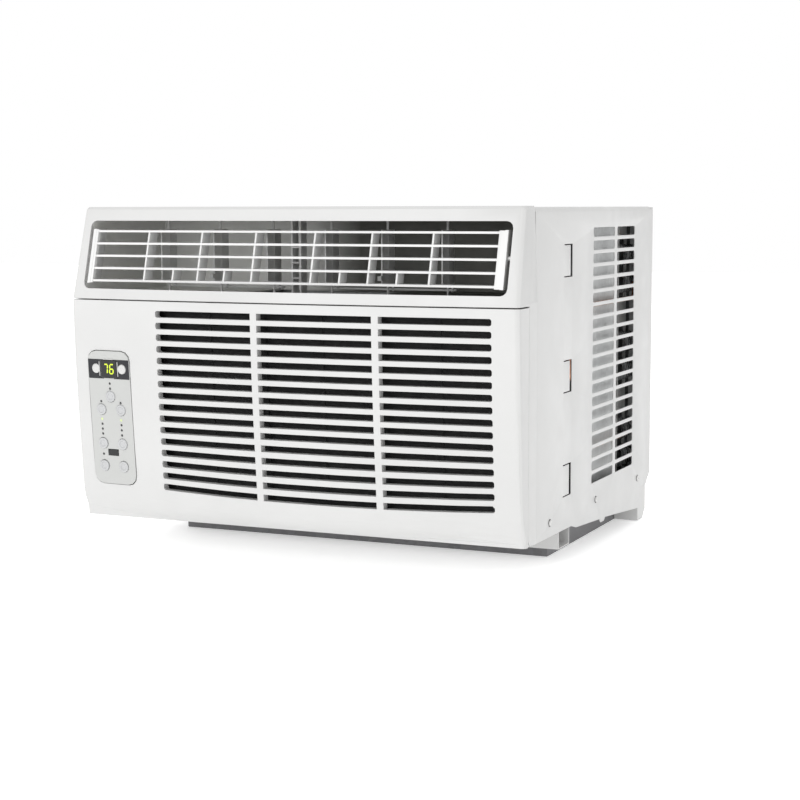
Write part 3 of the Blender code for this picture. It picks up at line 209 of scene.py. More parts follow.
def galvanised(name, colour):
    """Zinc coated sheet: flat spangles, each with its own grey and gloss."""
    s = Shader(name, 0.42, 0.25)
    grey = s.node("ShaderNodeRGBToBW")
    s.link(s.cells(110.0, output="Color"), grey.inputs["Color"])
    tone = grey.outputs["Val"]
    s.tones(s.remap(tone, 0.0, 1.0, 0.2, 0.8), colour, 0.90, 1.10)
    s.roughness(tone, 0.34, 0.52, start=0.2, end=0.8)
    return s.bump(s.noise(300.0, 3.0), 0.12, 0.00005).material


def finned(name, colour, rough=0.45):
    """A block of thin upright fins seen edge on: fine bands with painted shade in the gaps
    between the fins.
    """
    s = Shader(name, rough, 0.7)
    bands = s.bands(150.0, "X", 0.15)
    # The dark end of the ramp is painted shade between the fins
    shade = s.ramp(bands, (0.0, tint(colour, 0.10)), (0.45, tint(colour, 0.45)), (1.0, colour))
    s.colour(s.mixed(s.remap(s.noise(25.0, 4.0), 0.0, 0.35), shade, tint(colour, 0.4)))
    s.roughness(s.noise(120.0, 3.0), rough - 0.05, rough + 0.15)
    return s.bump(bands, 0.8, 0.0006).material


def foam(name, colour, scale=900.0, rough=0.9):
    """Open foam: small round cells with shaded hollows."""
    s = Shader(name, rough, 0.0, 0.25)
    cells = s.cells(scale)
    s.tones(s.remap(cells, 0.0, 1.0, 0.1, 0.7), colour, 0.80, 1.08)
    s.roughness(s.noise(40.0, 3.0), rough - 0.06, 1.0)
    return s.bump(cells, 0.6, 0.0005).material


def glossy(name, colour, rough, coat):
    """Clear lens over a dark ground."""
    s = Shader(name, rough)
    s.tones(s.cloud(30.0, 3.0), colour, 0.94, 1.06)
    s.roughness(s.noise(200.0, 4.0), rough - 0.03, rough + 0.05)
    s.set(Coat_Weight=coat, Coat_Roughness=0.08)
    return s.bump(s.noise(900.0, 2.0), 0.05, 0.00003).material


def worn_metal(name, colour, dark, rough=0.35, metal=1.0):
    """Metal with darker, rougher patches."""
    s = Shader(name, rough, metal)
    patch = s.noise(70.0, 6.0)
    s.colour(s.ramp(patch, (0.35, dark), (0.62, colour)))
    s.roughness(patch, rough + 0.15, rough - 0.05)
    return s.bump(s.noise(630.0, 4.0), 0.15, 0.0001).material


def net_material(name):
    """Fine filter cloth: a square weave, dark and slightly glossy."""
    s = Shader(name, 0.6)
    both = s.node("ShaderNodeMath", operation="MAXIMUM")
    for direction, socket in zip("XZ", both.inputs):
        s.link(s.bands(420.0, direction), socket)
    weave = both.outputs["Value"]
    s.colour(s.ramp(weave, (0.35, (0.002, 0.002, 0.0022)), (1.0, (0.012, 0.012, 0.013))))
    s.roughness(s.noise(80.0, 2.0), 0.55, 0.75)
    return s.bump(weave, 0.5, 0.0004).material


def duct_painted_light_and_shade(name, light, dark):
    """Moulded duct plastic with painted light and shade: light on the left, charcoal on the
    right.
    """
    s = Shader(name, 0.55)
    axes = s.node("ShaderNodeSeparateXYZ")
    s.link(s.place, axes.inputs["Vector"])
    # Across x the colour turns from the lit tone to the shaded tone: painted light and shade
    side = s.remap(axes.outputs["X"], 0.0, 1.0, -0.06, 0.01)
    cloud = s.cloud(30.0, 4.0)
    left = s.mixed(cloud, tint(light, 0.96), light)
    right = s.mixed(cloud, tint(dark, 0.85), dark)
    s.colour(s.mixed(side, left, right))
    s.roughness(s.noise(80.0, 3.0), 0.48, 0.65)
    return s.bump(s.noise(1200.0, 2.0), 0.15, 0.0001).material


def board_material(name):
    """Green circuit board with paler tracks."""
    s = Shader(name, 0.35)
    tracks = s.cells(160.0, "F1", (1.0, 1.0, 2.5))
    s.colour(s.ramp(tracks, (0.3, (0.010, 0.085, 0.035)), (0.55, (0.018, 0.14, 0.055))))
    s.roughness(s.noise(150.0, 3.0), 0.28, 0.5)
    return s.bump(tracks, 0.3, 0.0001).material


def lit_material(name, colour, strength):
    """A lamp or a bar of a digit that is switched on."""
    s = Shader(name, 0.4)
    glow = s.mixed(s.cloud(500.0, 2.0), tint(colour, 0.8), colour)
    s.colour(glow)
    s.link(glow, s.body.inputs["Emission Color"])
    s.body.inputs["Emission Strength"].default_value = strength
    return s.bump(s.noise(900.0, 2.0), 0.05, 0.00003).material


def materials(maker, **named):
    """One material of a kind for each name, with that name's settings."""
    return {name: maker(name, *settings) for name, settings in named.items()}


MATERIALS = {
    **materials(
        painted,
        cabinet_paint=((0.55, 0.55, 0.545),),
        compressor_paint=((0.012, 0.012, 0.013), 0.35),
    ),
    **materials(
        moulded,
        front_plastic=((0.545, 0.545, 0.54), 0.42),
        louvre_plastic=((0.64, 0.64, 0.635), 0.36),
        panel_overlay=((0.44, 0.445, 0.435), 0.34, 0.015),
        bracket_silver=((0.46, 0.46, 0.45), 0.35),
        black_plastic=((0.012, 0.012, 0.013), 0.5),
        rubber_mount=((0.018, 0.018, 0.018), 0.8),
    ),
    "white_button": moulded("white_button", (0.52, 0.52, 0.51), 0.3, Coat_Weight=0.25),
    "silver_button": moulded("silver_button", (0.44, 0.445, 0.45), 0.25, Coat_Weight=0.3),
    "dark_band": moulded("dark_band", (0.022, 0.023, 0.026), 0.55, 0.05, Specular_IOR_Level=0.3),
    **materials(
        foam,
        foam_strip=((0.66, 0.57, 0.42),),
        scroll_foam=((0.22, 0.22, 0.21), 380.0),
    ),
    **materials(
        glossy,
        display_lens=((0.006, 0.0065, 0.007), 0.35, 0.0),
        lamp_lens=((0.010, 0.010, 0.011), 0.2, 0.4),
    ),
    **materials(
        lit_material,
        lit_digit=((0.50, 0.62, 0.03), 0.75),
        lamp_on=((0.55, 0.64, 0.30), 0.15),
    ),
    **materials(
        galvanised,
        galvanised_steel=((0.46, 0.47, 0.47),),
        # Galvanised steel darkened far below its own tone: painted shade for the well under the
        # cabinet
        well_zinc=((0.15, 0.15, 0.155),),
        plate_zinc=((0.88, 0.88, 0.87),),
    ),
    **materials(
        brushed,
        bare_steel=((0.60, 0.60, 0.59),),
        capacitor_can=((0.70, 0.71, 0.72), 0.3),
        screw_zinc=((0.66, 0.66, 0.65), 0.3, 0.7),
    ),
    **materials(
        worn_metal,
        motor_shell=((0.42, 0.43, 0.44), (0.20, 0.21, 0.22), 0.4, 0.8),
        copper=((0.80, 0.38, 0.22), (0.36, 0.15, 0.08), 0.28),
        # Dark ring round each screw: painted shade of the dimple in the sheet
        dimple_shade=((0.10, 0.10, 0.10), (0.05, 0.05, 0.05), 0.6, 0.4),
    ),
    **materials(
        finned,
        evaporator_fins=((0.10, 0.11, 0.12),),
        condenser_fins=((0.58, 0.59, 0.60),),
    ),
    # Duct colours: painted light on the left, painted shade on the right
    "grey_plastic": duct_painted_light_and_shade("grey_plastic", (0.86, 0.86, 0.84), (0.17, 0.17, 0.155)),
    "filter_net": net_material("filter_net"),
    "circuit_board": board_material("circuit_board"),
}


# ---------------------------------------------------------------- mesh helpers

WELD = 1e-5                 # corners closer than this are one
FLAT_ANGLE = 0.6            # degrees between faces that count as one plane
SHARP_ANGLE = 32.0          # degrees at which shading breaks on flat plates
ROUND_SHARP_ANGLE = 40.0    # and on turned, folded or rounded pieces


def body_of_node(node):
    return frame["nodes"][node]["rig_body"]


def slot_of_node(node):
    return frame["nodes"][node].data.materials[0].name.split(".")[0]


def object_from(name, bm):
    """A mesh object in the scene, made from a bmesh that is then freed."""
    mesh = bpy.data.meshes.new(name)
    bm.to_mesh(mesh)
    bm.free()
    obj = bpy.data.objects.new(name, mesh)
    bpy.context.scene.collection.objects.link(obj)
    return obj


def finish_piece(obj, body, material, smooth=SHARP_ANGLE):
    obj.data.materials.clear()
    obj.data.materials.append(MATERIALS[material])
    for polygon in obj.data.polygons:
        polygon.use_smooth = True
    obj.data.set_sharp_from_angle(angle=radians(smooth))
    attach(obj, body)
    return obj


def piece(name, bm, body, material, smooth=SHARP_ANGLE):
    """One visible piece from a closed bmesh."""
    bmesh.ops.recalc_face_normals(bm, faces=bm.faces)
    return finish_piece(object_from(name, bm), body, material, smooth)


def round_edges(obj, width, segments=3, angle=30.0):
    bevel = obj.modifiers.new("rounded_edges", "BEVEL")
    bevel.width = width
    bevel.segments = segments
    bevel.limit_method = "ANGLE"
    bevel.angle_limit = radians(angle)
    bevel.harden_normals = False
    bevel.use_clamp_overlap = True
    return obj


def refine(node, width=0.0006, segments=2, prepare=None):
    """The CAD node rebuilt as a smooth welded mesh with rounded edges."""
    source = frame["nodes"][node]
    bm = bmesh.new()
    bm.from_mesh(source.data)
    bmesh.ops.remove_doubles(bm, verts=bm.verts, dist=WELD)
    bmesh.ops.dissolve_limit(
        bm, angle_limit=radians(FLAT_ANGLE), verts=bm.verts, edges=bm.edges)
    if prepare:
        prepare(bm)
    slot = slot_of_node(node)
    obj = object_from("look_" + node, bm)
    finish_piece(obj, body_of_node(node), slot, ROUND_SHARP_ANGLE)
    round_edges(obj, width, segments)
    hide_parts(node)
    return obj


def outlined(u0, v0, u1, v1, r, steps=6):
    """A rectangle with rounded corners, from its lower left to its upper right corner."""
    points = []
    corners = ((u1 - r, v1 - r, 0), (u0 + r, v1 - r, 90),
               (u0 + r, v0 + r, 180), (u1 - r, v0 + r, 270))
    for cu, cv, start in corners:
        for i in range(steps + 1):
            a = radians(start + 90 * i / steps)
            points.append((cu + r * cos(a), cv + r * sin(a)))
    return points


def outlined_about(u, v, half_u, half_v, r, steps=6):
    """The same shape, given by its middle and its half sizes."""
    return outlined(u - half_u, v - half_v, u + half_u, v + half_v, r, steps)


def circle(u, v, r, steps=40):
    turns = [2 * pi * i / steps for i in range(steps)]
    return [(u + r * cos(a), v + r * sin(a)) for a in turns]


# ---------------------------------------------------------------- control panel

# The lower front bows out across its width and tucks in towards the chin
FRONT_HALF_W, FRONT_CORNER_Y, FRONT_BOW = 0.300, -0.2705, 0.014
FRONT_TUCK, FRONT_TUCK_POWER = 0.017, 1.6
PARTING_Z, CHIN_Z = 0.325, 0.060
PANEL_X, PANEL_Z = -0.245, 0.176
# Half spans over which the panel's slope is taken
SLOPE_X, SLOPE_Z = 0.02, 0.06


def front_y(x, z):
    drop = max(0.0, (PARTING_Z - z) / (PARTING_Z - CHIN_Z))
    bow = FRONT_BOW * (1 - (x / FRONT_HALF_W) ** 2)
    return FRONT_CORNER_Y + FRONT_TUCK * drop ** FRONT_TUCK_POWER - bow


def panel_axes():
    """Middle of the panel's face, and its directions along, up and outward."""
    rise_x = front_y(PANEL_X + SLOPE_X, PANEL_Z) - front_y(PANEL_X - SLOPE_X, PANEL_Z)
    rise_z = front_y(PANEL_X, PANEL_Z + SLOPE_Z) - front_y(PANEL_X, PANEL_Z - SLOPE_Z)
    along = Vector((2 * SLOPE_X, rise_x, 0)).normalized()
    out = along.cross(Vector((0, rise_z, 2 * SLOPE_Z))).normalized()
    up = out.cross(along).normalized()
    return Vector((PANEL_X, front_y(PANEL_X, PANEL_Z), PANEL_Z)), along, up, out


PANEL_O, PANEL_U, PANEL_V, PANEL_W = panel_axes()


def on_panel(u, v, w):
    return PANEL_O + PANEL_U * u + PANEL_V * v + PANEL_W * w


def panel_uv(x, z):
    """Panel coordinates of the point of the panel's face at this x and z."""
    v = (z - PANEL_Z) / PANEL_V.z
    return (x - PANEL_X - PANEL_V.x * v) / PANEL_U.x, v


def slab(name, outlines, depths, body, material, edge=0.0):
    """A flat plate on the panel between two depths, pierced by all outlines but the first."""
    bm = bmesh.new()
    rims = []
    for depth in depths:
        loops = [[bm.verts.new(on_panel(u, v, depth)) for u, v in outline]
                 for outline in outlines]
        edges = [bm.edges.new((ring[i], ring[i - 1])) for ring in loops for i in range(len(ring))]
        bmesh.ops.triangle_fill(bm, use_beauty=True, edges=edges)
        rims.append(loops)
    for lower, upper in zip(*rims):
        for i in range(len(lower)):
            bm.faces.new((lower[i - 1], lower[i], upper[i], upper[i - 1]))
    obj = piece(name, bm, body, material)
    return round_edges(obj, edge, 2) if edge else obj


def lathed(name, profile, u, v, body, material, steps=48, slot=None):
    """A turned piece on the panel; the profile is (radius, height), centre to centre."""
    bm = bmesh.new()
    rings = []
    for r, w in profile:
        points = circle(u, v, r, steps) if r else [(u, v)]
        rings.append([bm.verts.new(on_panel(pu, pv, w)) for pu, pv in points])
    for a, b in zip(rings, rings[1:]):
        for i in range(steps):
            if len(a) == 1:
                bm.faces.new((a[0], b[i - 1], b[i]))
            elif len(b) == 1:
                bm.faces.new((a[i - 1], a[i], b[0]))
            else:
                bm.faces.new((a[i - 1], a[i], b[i], b[i - 1]))
    return piece(name, bm, body, material, ROUND_SHARP_ANGLE)


# Buttons: x, z and radius
BUTTONS = {
    "temp_down_button": (-0.2648, 0.2384, 0.0060),
    "temp_up_button": (-0.2250, 0.2384, 0.0060),
    "filter_button": (-0.2450, 0.2034, 0.0070),
    "sleep_button": (-0.2602, 0.1865, 0.0070),
    "energy_button": (-0.2302, 0.1865, 0.0070),
    "fan_button": (-0.2606, 0.1430, 0.0070),
    "mode_button": (-0.2304, 0.1430, 0.0070),
    "timer_button": (-0.2608, 0.1141, 0.0070),
    "power_button": (-0.2308, 0.1141, 0.0070),
}
BUTTONS_IN_BAND = ("temp_down_button", "temp_up_button")
BAND_HOLE_GAP = 0.0004
BUTTON_EDGE_R, BUTTON_EDGE_LOW = 0.0011, -0.0001
COLLAR_W, COLLAR_TOP, COLLAR_FOOT = 0.0012, -0.0047, -0.0056
# Button faces: share of the rim's radius, height
DOMED_FACE = ((0, 0.0014), (0.35, 0.00137), (0.65, 0.00125), (0.9, 0.00105))
DISHED_FACE = ((0, 0.0002), (0.45, 0.00012), (0.60, 0.0001), (0.70, 0.0005), (0.80, 0.0012))
DISHED_RAISE = 0.0003

# Lamps: x and z
LAMPS = ((-0.2450, 0.2198), (-0.2450, 0.2134), (-0.2600, 0.1967), (-0.2299, 0.1958),
         (-0.2603, 0.1678), (-0.2603, 0.1615), (-0.2603, 0.1553),
         (-0.2306, 0.1675), (-0.2306, 0.1610), (-0.2306, 0.1545), (-0.2610, 0.1292))
LIT_LAMPS = ((-0.2603, 0.1742), (-0.2306, 0.1737))
LAMP_DOME = ((0, 0.0005), (0.0008, 0.00045), (0.0013, 0.00032), (0.0016, 0.0001),
             (0.00165, -0.0005), (0, -0.0005))
LAMP_STEPS = 24

# Display, on the panel's own axes
DISPLAY_V = 0.0625
DISPLAY_HOLE = (0.0124, 0.0113, 0.0012)     # half width, half height, corner radius
BAND = (-0.0314, 0.0500, 0.0314, 0.0745, 0.0008)
BAND_DEPTHS = (-0.0004, 0.00025)
FINE_EDGE = 0.0001
# Frame round the display: middle, half sizes, corner radius
BRACKETS = {
    "left": (-0.0140, 0.0, 0.0005, 0.0092, 0.0004),
    "low": (0.0, -0.0124, 0.0078, 0.0006, 0.0005),
    "right": (0.0140, 0.0, 0.0005, 0.0092, 0.0004),
    "high": (0.0, 0.0124, 0.0078, 0.0006, 0.0005),
}
BRACKET_DEPTHS = (0.0, 0.0005)
# Seven bars of one digit: name -> (u, v, lies across)
DIGIT_BARS = {"a": (0, 1, True), "g": (0, 0, True), "d": (0, -1, True), "f": (-1, 0.5, False),
              "b": (1, 0.5, False), "e": (-1, -0.5, False), "c": (1, -0.5, False)}
DIGITS = (("7", "abc", -0.0044), ("6", "acdefg", 0.0046))
DIGIT_HALF_W, DIGIT_HALF_H, DIGIT_BAR, DIGIT_SLANT = 0.0027, 0.0058, 0.0008, 0.10
DIGIT_GAP, DIGIT_R, DIGIT_CORNER_STEPS = 0.0005, 0.0005, 3
DIGIT_DEPTHS = (-0.0002, 0.0004)

# Dark windows: lower left, upper right, corner radius
WINDOWS = {
    "display_window": (-0.0119, 0.0517, 0.0119, 0.0733, 0.0010),
    "receiver_window": (-0.0089, -0.0482, 0.0069, -0.0404, 0.0034),
}
WINDOW_DEPTHS, WINDOW_EDGE = (-0.0040, 0.0002), 0.0003


def make_button(node):
    """A round key: face, rounded edge, skirt and a collar below the panel."""
    x, z, r = BUTTONS[node]
    u, v = panel_uv(x, z)
    rim = r - BUTTON_EDGE_R
    domed = node in BUTTONS_IN_BAND
    face = [(share * rim, w) for share, w in (DOMED_FACE if domed else DISHED_FACE)]
    edge_w = BUTTON_EDGE_LOW + (0.0 if domed else DISHED_RAISE)
    turns = [radians(a) for a in range(15, 91, 15)]
    shoulder = [(rim + BUTTON_EDGE_R * sin(a), edge_w + BUTTON_EDGE_R * cos(a)) for a in turns]
    skirt = [(r, COLLAR_TOP), (r + COLLAR_W, COLLAR_TOP), (r + COLLAR_W, COLLAR_FOOT),
             (0, COLLAR_FOOT)]
    profile = face + shoulder + skirt
    obj = lathed("look_" + node, profile, u, v, body_of_node(node), slot_of_node(node))
    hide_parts(node)


def make_display(body):
    """Dark band with the display's frame and its two lit digits."""
    holes = [outlined_about(0.0, DISPLAY_V, *DISPLAY_HOLE)]
    for node in BUTTONS_IN_BAND:
        x, z, r = BUTTONS[node]
        holes.append(circle(*panel_uv(x, z), r + BAND_HOLE_GAP))
    slab("dark_band", [outlined(*BAND), *holes], BAND_DEPTHS, body, "dark_band",
         FINE_EDGE)
    for side, (u, v, *rest) in BRACKETS.items():
        slab(f"display_bracket_{side}", [outlined_about(u, DISPLAY_V + v, *rest)],
             BRACKET_DEPTHS, body, "bracket_silver", FINE_EDGE)
    for digit, bars, middle in DIGITS:
        for bar in bars:
            across, high, flat = DIGIT_BARS[bar]
            u, v = across * DIGIT_HALF_W, high * DIGIT_HALF_H
            long = (DIGIT_HALF_W if flat else DIGIT_HALF_H / 2) - DIGIT_GAP
            halves = (long, DIGIT_BAR) if flat else (DIGIT_BAR, long)
            upright = outlined_about(u, v, *halves, DIGIT_R, DIGIT_CORNER_STEPS)
            shape = [(middle + p + DIGIT_SLANT * q, DISPLAY_V + q) for p, q in upright]
            slab(f"digit_{digit}_bar_{bar}", [shape], DIGIT_DEPTHS, body, "lit_digit")


def make_lamps(body):
    for prefix, places, material in (("lamp", LAMPS, "lamp_lens"),
                                     ("lit_lamp", LIT_LAMPS, "lamp_on")):
        for number, (x, z) in enumerate(places, 1):
            lathed(f"{prefix}_{number}", LAMP_DOME, *panel_uv(x, z), body, material,
                   LAMP_STEPS, "display_lens")


def make_windows():
    for node, outline in WINDOWS.items():
        obj = slab("look_" + node, [outlined(*outline)], WINDOW_DEPTHS, body_of_node(node),
                   slot_of_node(node), WINDOW_EDGE)
        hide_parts(node)


# ---------------------------------------------------------------- cabinet cover

WRAP_HALF, WRAP_TOP_Z, WRAP_FRONT_Y, WRAP_REAR_Y = 0.2975, 0.4385, -0.2105, 0.2770
WRAP_R, FOLD_STEPS, STEEL = 0.007, 8, 0.0012
SIDE_TOP_Z = WRAP_TOP_Z - WRAP_R
SHEET_EDGE, SHEET_EDGE_ANGLE = 0.00025, 50.0
VENT_ROWS, VENT_PITCH, VENT_LOW_Z = 20, 0.0166, 0.0912
VENT_H, VENT_R, VENT_CORNER_STEPS = 0.0118, 0.0032, 4
VENT_COLUMNS = ((0.008, 0.100), (0.111, 0.192))
HOOK_Y, HOOK_Z, HOOK_H = (-0.107, -0.075), (0.374, 0.233, 0.105), 0.040
HOOK_WIDE, HOOK_THIN, HOOK_R, HOOK_TIP = 0.0085, 0.0014, 0.001, 0.0006
SCREW_Y, SCREW_Z = (-0.155, 0.027, 0.218), 0.062
SCREW_HOLE_R, SCREW_HOLE_STEPS = 0.0023, 16
# Lower edge of the side, front to rear: y and z
HEM = ((-0.2105, 0.0455), (-0.072, 0.044), (-0.052, 0.039), (0.045, 0.033), (0.050, 0.028),
       (0.064, 0.028), (0.069, 0.032), (0.200, 0.021), (0.226, 0.019), (0.230, 0.048),
       (0.263, 0.048), (0.270, 0.056), (0.277, 0.058))


def hook_slit(z):
    """Staple shaped slit round the three free sides of a sash hook."""
    y0, y1, low, high = *HOOK_Y, z - HOOK_H / 2, z + HOOK_H / 2
    inner, tip = y1 - HOOK_WIDE, y0 + HOOK_TIP
    turns = [radians(a) for a in (90, 45, 0)]
    corner = [(y1 - HOOK_R + HOOK_R * cos(a), high - HOOK_R + HOOK_R * sin(a)) for a in turns]
    foot = [(y, 2 * z - corner_z) for y, corner_z in reversed(corner)]
    return [(y0, high - HOOK_THIN / 2), (tip, high), *corner, *foot,
            (tip, low), (y0, low + HOOK_THIN / 2), (tip, low + HOOK_THIN),
            (inner, low + HOOK_THIN), (inner, high - HOOK_THIN), (tip, high - HOOK_THIN)]


def side_outlines():
    """Outline of one side of the cover, then its vents, hook slits and screw holes."""
    outlines = [[*HEM, (WRAP_REAR_Y, SIDE_TOP_Z), (WRAP_FRONT_Y, SIDE_TOP_Z)]]
    for row in range(VENT_ROWS):
        z = VENT_LOW_Z + row * VENT_PITCH
        for y0, y1 in VENT_COLUMNS:
            outlines.append(outlined(y0, z - VENT_H / 2, y1, z + VENT_H / 2, VENT_R,
                                     VENT_CORNER_STEPS))
    outlines += [hook_slit(z) for z in HOOK_Z]
    outlines += [circle(y, SCREW_Z, SCREW_HOLE_R, SCREW_HOLE_STEPS) for y in SCREW_Y]
    return outlines


def make_cabinet_wrap():
    """Two pierced sides joined by a top with rounded folds, thickened inward."""
    node = "cabinet_wrap"
    bm = bmesh.new()
    for side in (-1, 1):
        edges = []
        for outline in side_outlines():
            ring = [bm.verts.new((side * WRAP_HALF, y, z)) for y, z in outline]
            edges += [bm.edges.new((ring[i], ring[i - 1])) for i in range(len(ring))]
        bmesh.ops.triangle_fill(bm, use_beauty=True, edges=edges)
    profile = []
    for step in range(FOLD_STEPS + 1):
        a = pi - 0.5 * pi * step / FOLD_STEPS
        profile.append((-WRAP_HALF + WRAP_R + WRAP_R * cos(a), SIDE_TOP_Z + WRAP_R * sin(a)))
    profile += [(-x, z) for x, z in reversed(profile)]
    rows = [[bm.verts.new((x, y, z)) for x, z in profile] for y in (WRAP_FRONT_Y, WRAP_REAR_Y)]
    for i in range(len(profile) - 1):
        bm.faces.new((rows[0][i], rows[0][i + 1], rows[1][i + 1], rows[1][i]))
    bmesh.ops.remove_doubles(bm, verts=bm.verts, dist=WELD)
    bmesh.ops.recalc_face_normals(bm, faces=bm.faces)
    outer = min(bm.faces, key=lambda f: f.calc_center_median().x)
    if outer.normal.x > 0:
        bmesh.ops.reverse_faces(bm, faces=bm.faces)
    obj = object_from("look_" + node, bm)
    finish_piece(obj, body_of_node(node), slot_of_node(node), smooth=ROUND_SHARP_ANGLE)
    sheet = obj.modifiers.new("sheet", "SOLIDIFY")
    sheet.thickness = STEEL
    sheet.offset = -1.0
    sheet.use_even_offset = True
    round_edges(obj, SHEET_EDGE, 2, SHEET_EDGE_ANGLE)
    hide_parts(node)


# ---------------------------------------------------------------- cabinet screws

SCREWS = [f"cabinet_screw_{side}_{number}" for side in ("left", "right") for number in (1, 2, 3)]
SCREW_STEPS, SCREW_SHARP_ANGLE = 32, 50.0
# Turned profiles: radius, height above the cabinet's side
SCREW_PROFILE = ((0.0007, 0.0010), (0.0014, 0.0018), (0.0022, 0.0019), (0.0030, 0.0016),
                 (0.0034, 0.0009), (0.0035, 0.0004), (0.0035, 0.0002), (0.0019, 0.0001),
                 (0.0019, -0.0070), (0.0004, -0.0088))
SHADE_RING_PROFILE = ((0.0024, 0.0002), (0.0040, 0.0003), (0.0047, 0.0001), (0.0047, -0.0001),
                  (0.0024, -0.0001))


def make_screw(node):
    """Dished pan head on its shank, over a dark ring of painted shade on the sheet round it."""
    low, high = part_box(node)
    side = 1 if high.x > 0 else -1
    y, z = (low.y + high.y) / 2, (low.z + high.z) / 2

    def turned(name, profile, material):
        bm = bmesh.new()
        rings = [[bm.verts.new((side * (WRAP_HALF + h), ring_y, ring_z))
                  for ring_y, ring_z in circle(y, z, r, SCREW_STEPS)] for r, h in profile]
        for a, b in zip(rings, rings[1:]):
            for i in range(SCREW_STEPS):
                bm.faces.new((a[i - 1], a[i], b[i], b[i - 1]))
        for ring in (rings[0], rings[-1]):
            bm.faces.new(ring)
        return piece(name, bm, body_of_node(node), material,
                     SCREW_SHARP_ANGLE)

    head = turned("look_" + node, SCREW_PROFILE, "screw_zinc")
    # A thin dark ring round the head: painted shade of the dimple in the sheet
    turned("dimple_" + node, SHADE_RING_PROFILE, "dimple_shade")
    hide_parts(node)


# ---------------------------------------------------------------- grille, pan and plate

SLOT_X = (-0.172, 0.267)
SLOT_AREA_Z = (0.070, 0.320)
SLOT_END_R, SLOT_END_STEPS = 0.0028, 4
# How near the slot's end an edge lies, how level it is, and how deep a bar is at least
NEAR_END, SAME_X, SAME_Z, BAR_DEPTH = 0.0006, 0.001, 0.002, 0.006
GRILLE_EDGE, PLATE_EDGE = 0.0010, 0.0002
# The part of the pan that hangs below the cabinet, whose faces get painted shade
WELL_TOP_Z, WELL_REAR_Y, WELL_HALF_W = 0.0455, 0.2278, 0.2630


def is_slot_end(edge):
    a, b = (v.co for v in edge.verts)
    at_end = all(min(abs(p.x - x) for x in SLOT_X) < NEAR_END for p in (a, b))
    inside = all(SLOT_AREA_Z[0] < p.z < SLOT_AREA_Z[1] for p in (a, b))
    level = abs(a.z - b.z) < SAME_Z and abs(a.x - b.x) < SAME_X
    return at_end and inside and level and abs(a.y - b.y) > BAR_DEPTH


def round_slot_ends(bm):
    """Rounds the outer ends of the intake slots, seen from the front."""
    ends = [edge for edge in bm.edges if is_slot_end(edge)]
    bmesh.ops.bevel(bm, geom=ends, offset=SLOT_END_R, segments=SLOT_END_STEPS, profile=0.5,
                    affect="EDGES")


def make_base_pan():
    """The pan, with the faces of its well in a darker zinc that paints on the shade under the
    cabinet.
    """
    pan = refine("base_pan")
    pan.data.materials.append(MATERIALS["well_zinc"])
    for face in pan.data.polygons:
        at = face.center
        # Faces of the well under the cabinet get the painted shade
        if at.z < WELL_TOP_Z and at.y < WELL_REAR_Y and abs(at.x) < WELL_HALF_W:
            face.material_index = 1


def make_end_plate():
    plate = refine("condenser_end_plate", PLATE_EDGE)
    plate.data.materials[0] = MATERIALS["plate_zinc"]


# ---------------------------------------------------------------- all pieces

for button in BUTTONS:
    make_button(button)
make_display(body_of_node("control_panel"))
make_lamps(body_of_node("control_panel"))
make_windows()
make_cabinet_wrap()
for screw in SCREWS:
    make_screw(screw)
refine("intake_grille", GRILLE_EDGE, 3, prepare=round_slot_ends)
make_base_pan()
make_end_plate()

MADE = {*BUTTONS, *WINDOWS, *SCREWS, "cabinet_wrap", "intake_grille", "base_pan",
        "condenser_end_plate"}
for node in sorted(frame["nodes"]):
    if node not in MADE:
        refine(node)


# ---------------------------------------------------------------- stage

WHITE = (1.0, 1.0, 1.0, 1.0)
FLOOR_HALF, FLOOR_Z, FLOOR_GLOW = 9.0, -0.0004, 0.42
WORLD_STRENGTH = 1.0
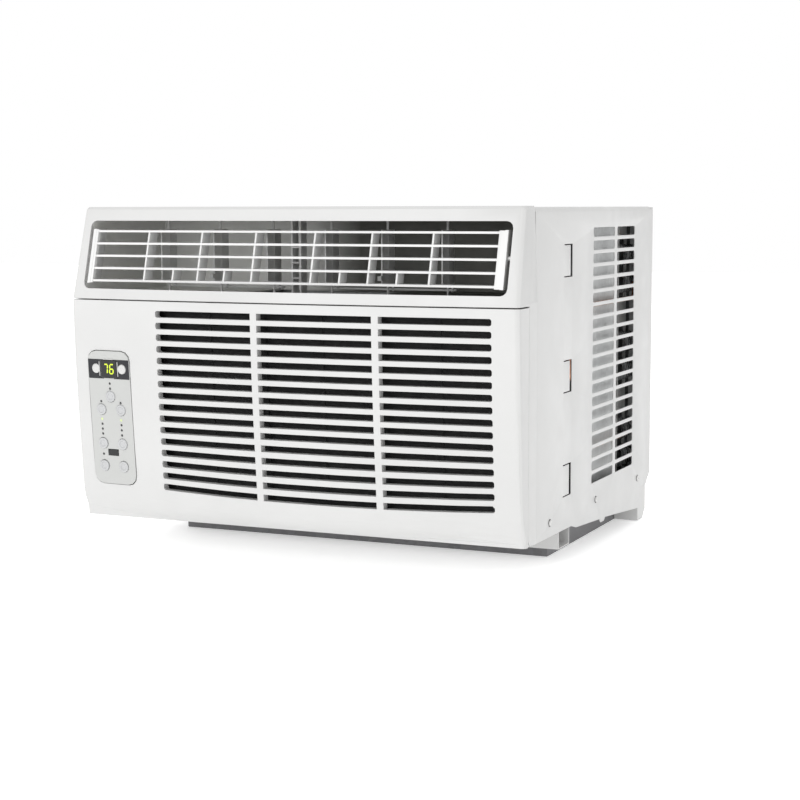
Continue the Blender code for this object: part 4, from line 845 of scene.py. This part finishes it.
# Lights: place, point aimed at, size, power
LIGHTS = {
    "key": ((-0.5, -3.0, 1.1), (0, -0.2, 0.25), 1.2, 26.0),
    "top": ((0.2, 0.0, 2.6), (0, 0, 0.2), 2.0, 3.0),
}
CAMERA_AT = (0.9607, -2.0874, 0.4399)
CAMERA_YAW, CAMERA_DIP, CAMERA_ROLL = 23.97, 6.42, -0.16
CAMERA_LENS, CAMERA_SENSOR, CAMERA_NEAR = 77.5, 36.0, 0.05


def make_floor():
    """White studio floor with a weak glow of its own."""
    s = Shader("floor", 0.6, 0.0, 0.2)
    s.colour(s.mixed(s.cloud(1.5, 3.0), (0.93, 0.93, 0.93), (0.95, 0.95, 0.95)))
    s.bump(s.noise(120.0, 3.0), 0.02, 0.0002)
    s.set(Emission_Color=WHITE, Emission_Strength=FLOOR_GLOW)
    bm = bmesh.new()
    bmesh.ops.create_grid(bm, x_segments=4, y_segments=4, size=FLOOR_HALF)
    floor = object_from("floor", bm)
    floor.data.materials.append(s.material)
    floor.location.z = FLOOR_Z


def area_light(name, at, aim, size, power):
    light = bpy.data.lights.new(name, "AREA")
    light.shape = "SQUARE"
    light.size = size
    light.energy = power
    obj = bpy.data.objects.new(name, light)
    bpy.context.scene.collection.objects.link(obj)
    obj.location = at
    obj.rotation_euler = (Vector(aim) - Vector(at)).to_track_quat("-Z", "Y").to_euler()


def make_lights():
    world = bpy.data.worlds.new("studio")
    bpy.context.scene.world = world
    world.use_nodes = True
    background = world.node_tree.nodes["Background"]
    background.inputs["Color"].default_value = WHITE
    background.inputs["Strength"].default_value = WORLD_STRENGTH
    for name, settings in LIGHTS.items():
        area_light(name, *settings)


def make_camera():
    camera = bpy.data.objects.new("camera", bpy.data.cameras.new("camera"))
    bpy.context.scene.collection.objects.link(camera)
    camera.data.sensor_width = CAMERA_SENSOR
    camera.data.lens = CAMERA_LENS
    camera.data.clip_start = CAMERA_NEAR
    camera.location = CAMERA_AT
    yaw = Matrix.Rotation(radians(CAMERA_YAW), 3, "Z")
    dip = Matrix.Rotation(radians(90 - CAMERA_DIP), 3, "X")
    roll = Matrix.Rotation(radians(CAMERA_ROLL), 3, "Z")
    camera.rotation_euler = (yaw @ dip @ roll).to_euler()
    bpy.context.scene.camera = camera


make_floor()
make_lights()
make_camera()
bpy.context.scene.view_settings.view_transform = "Standard"
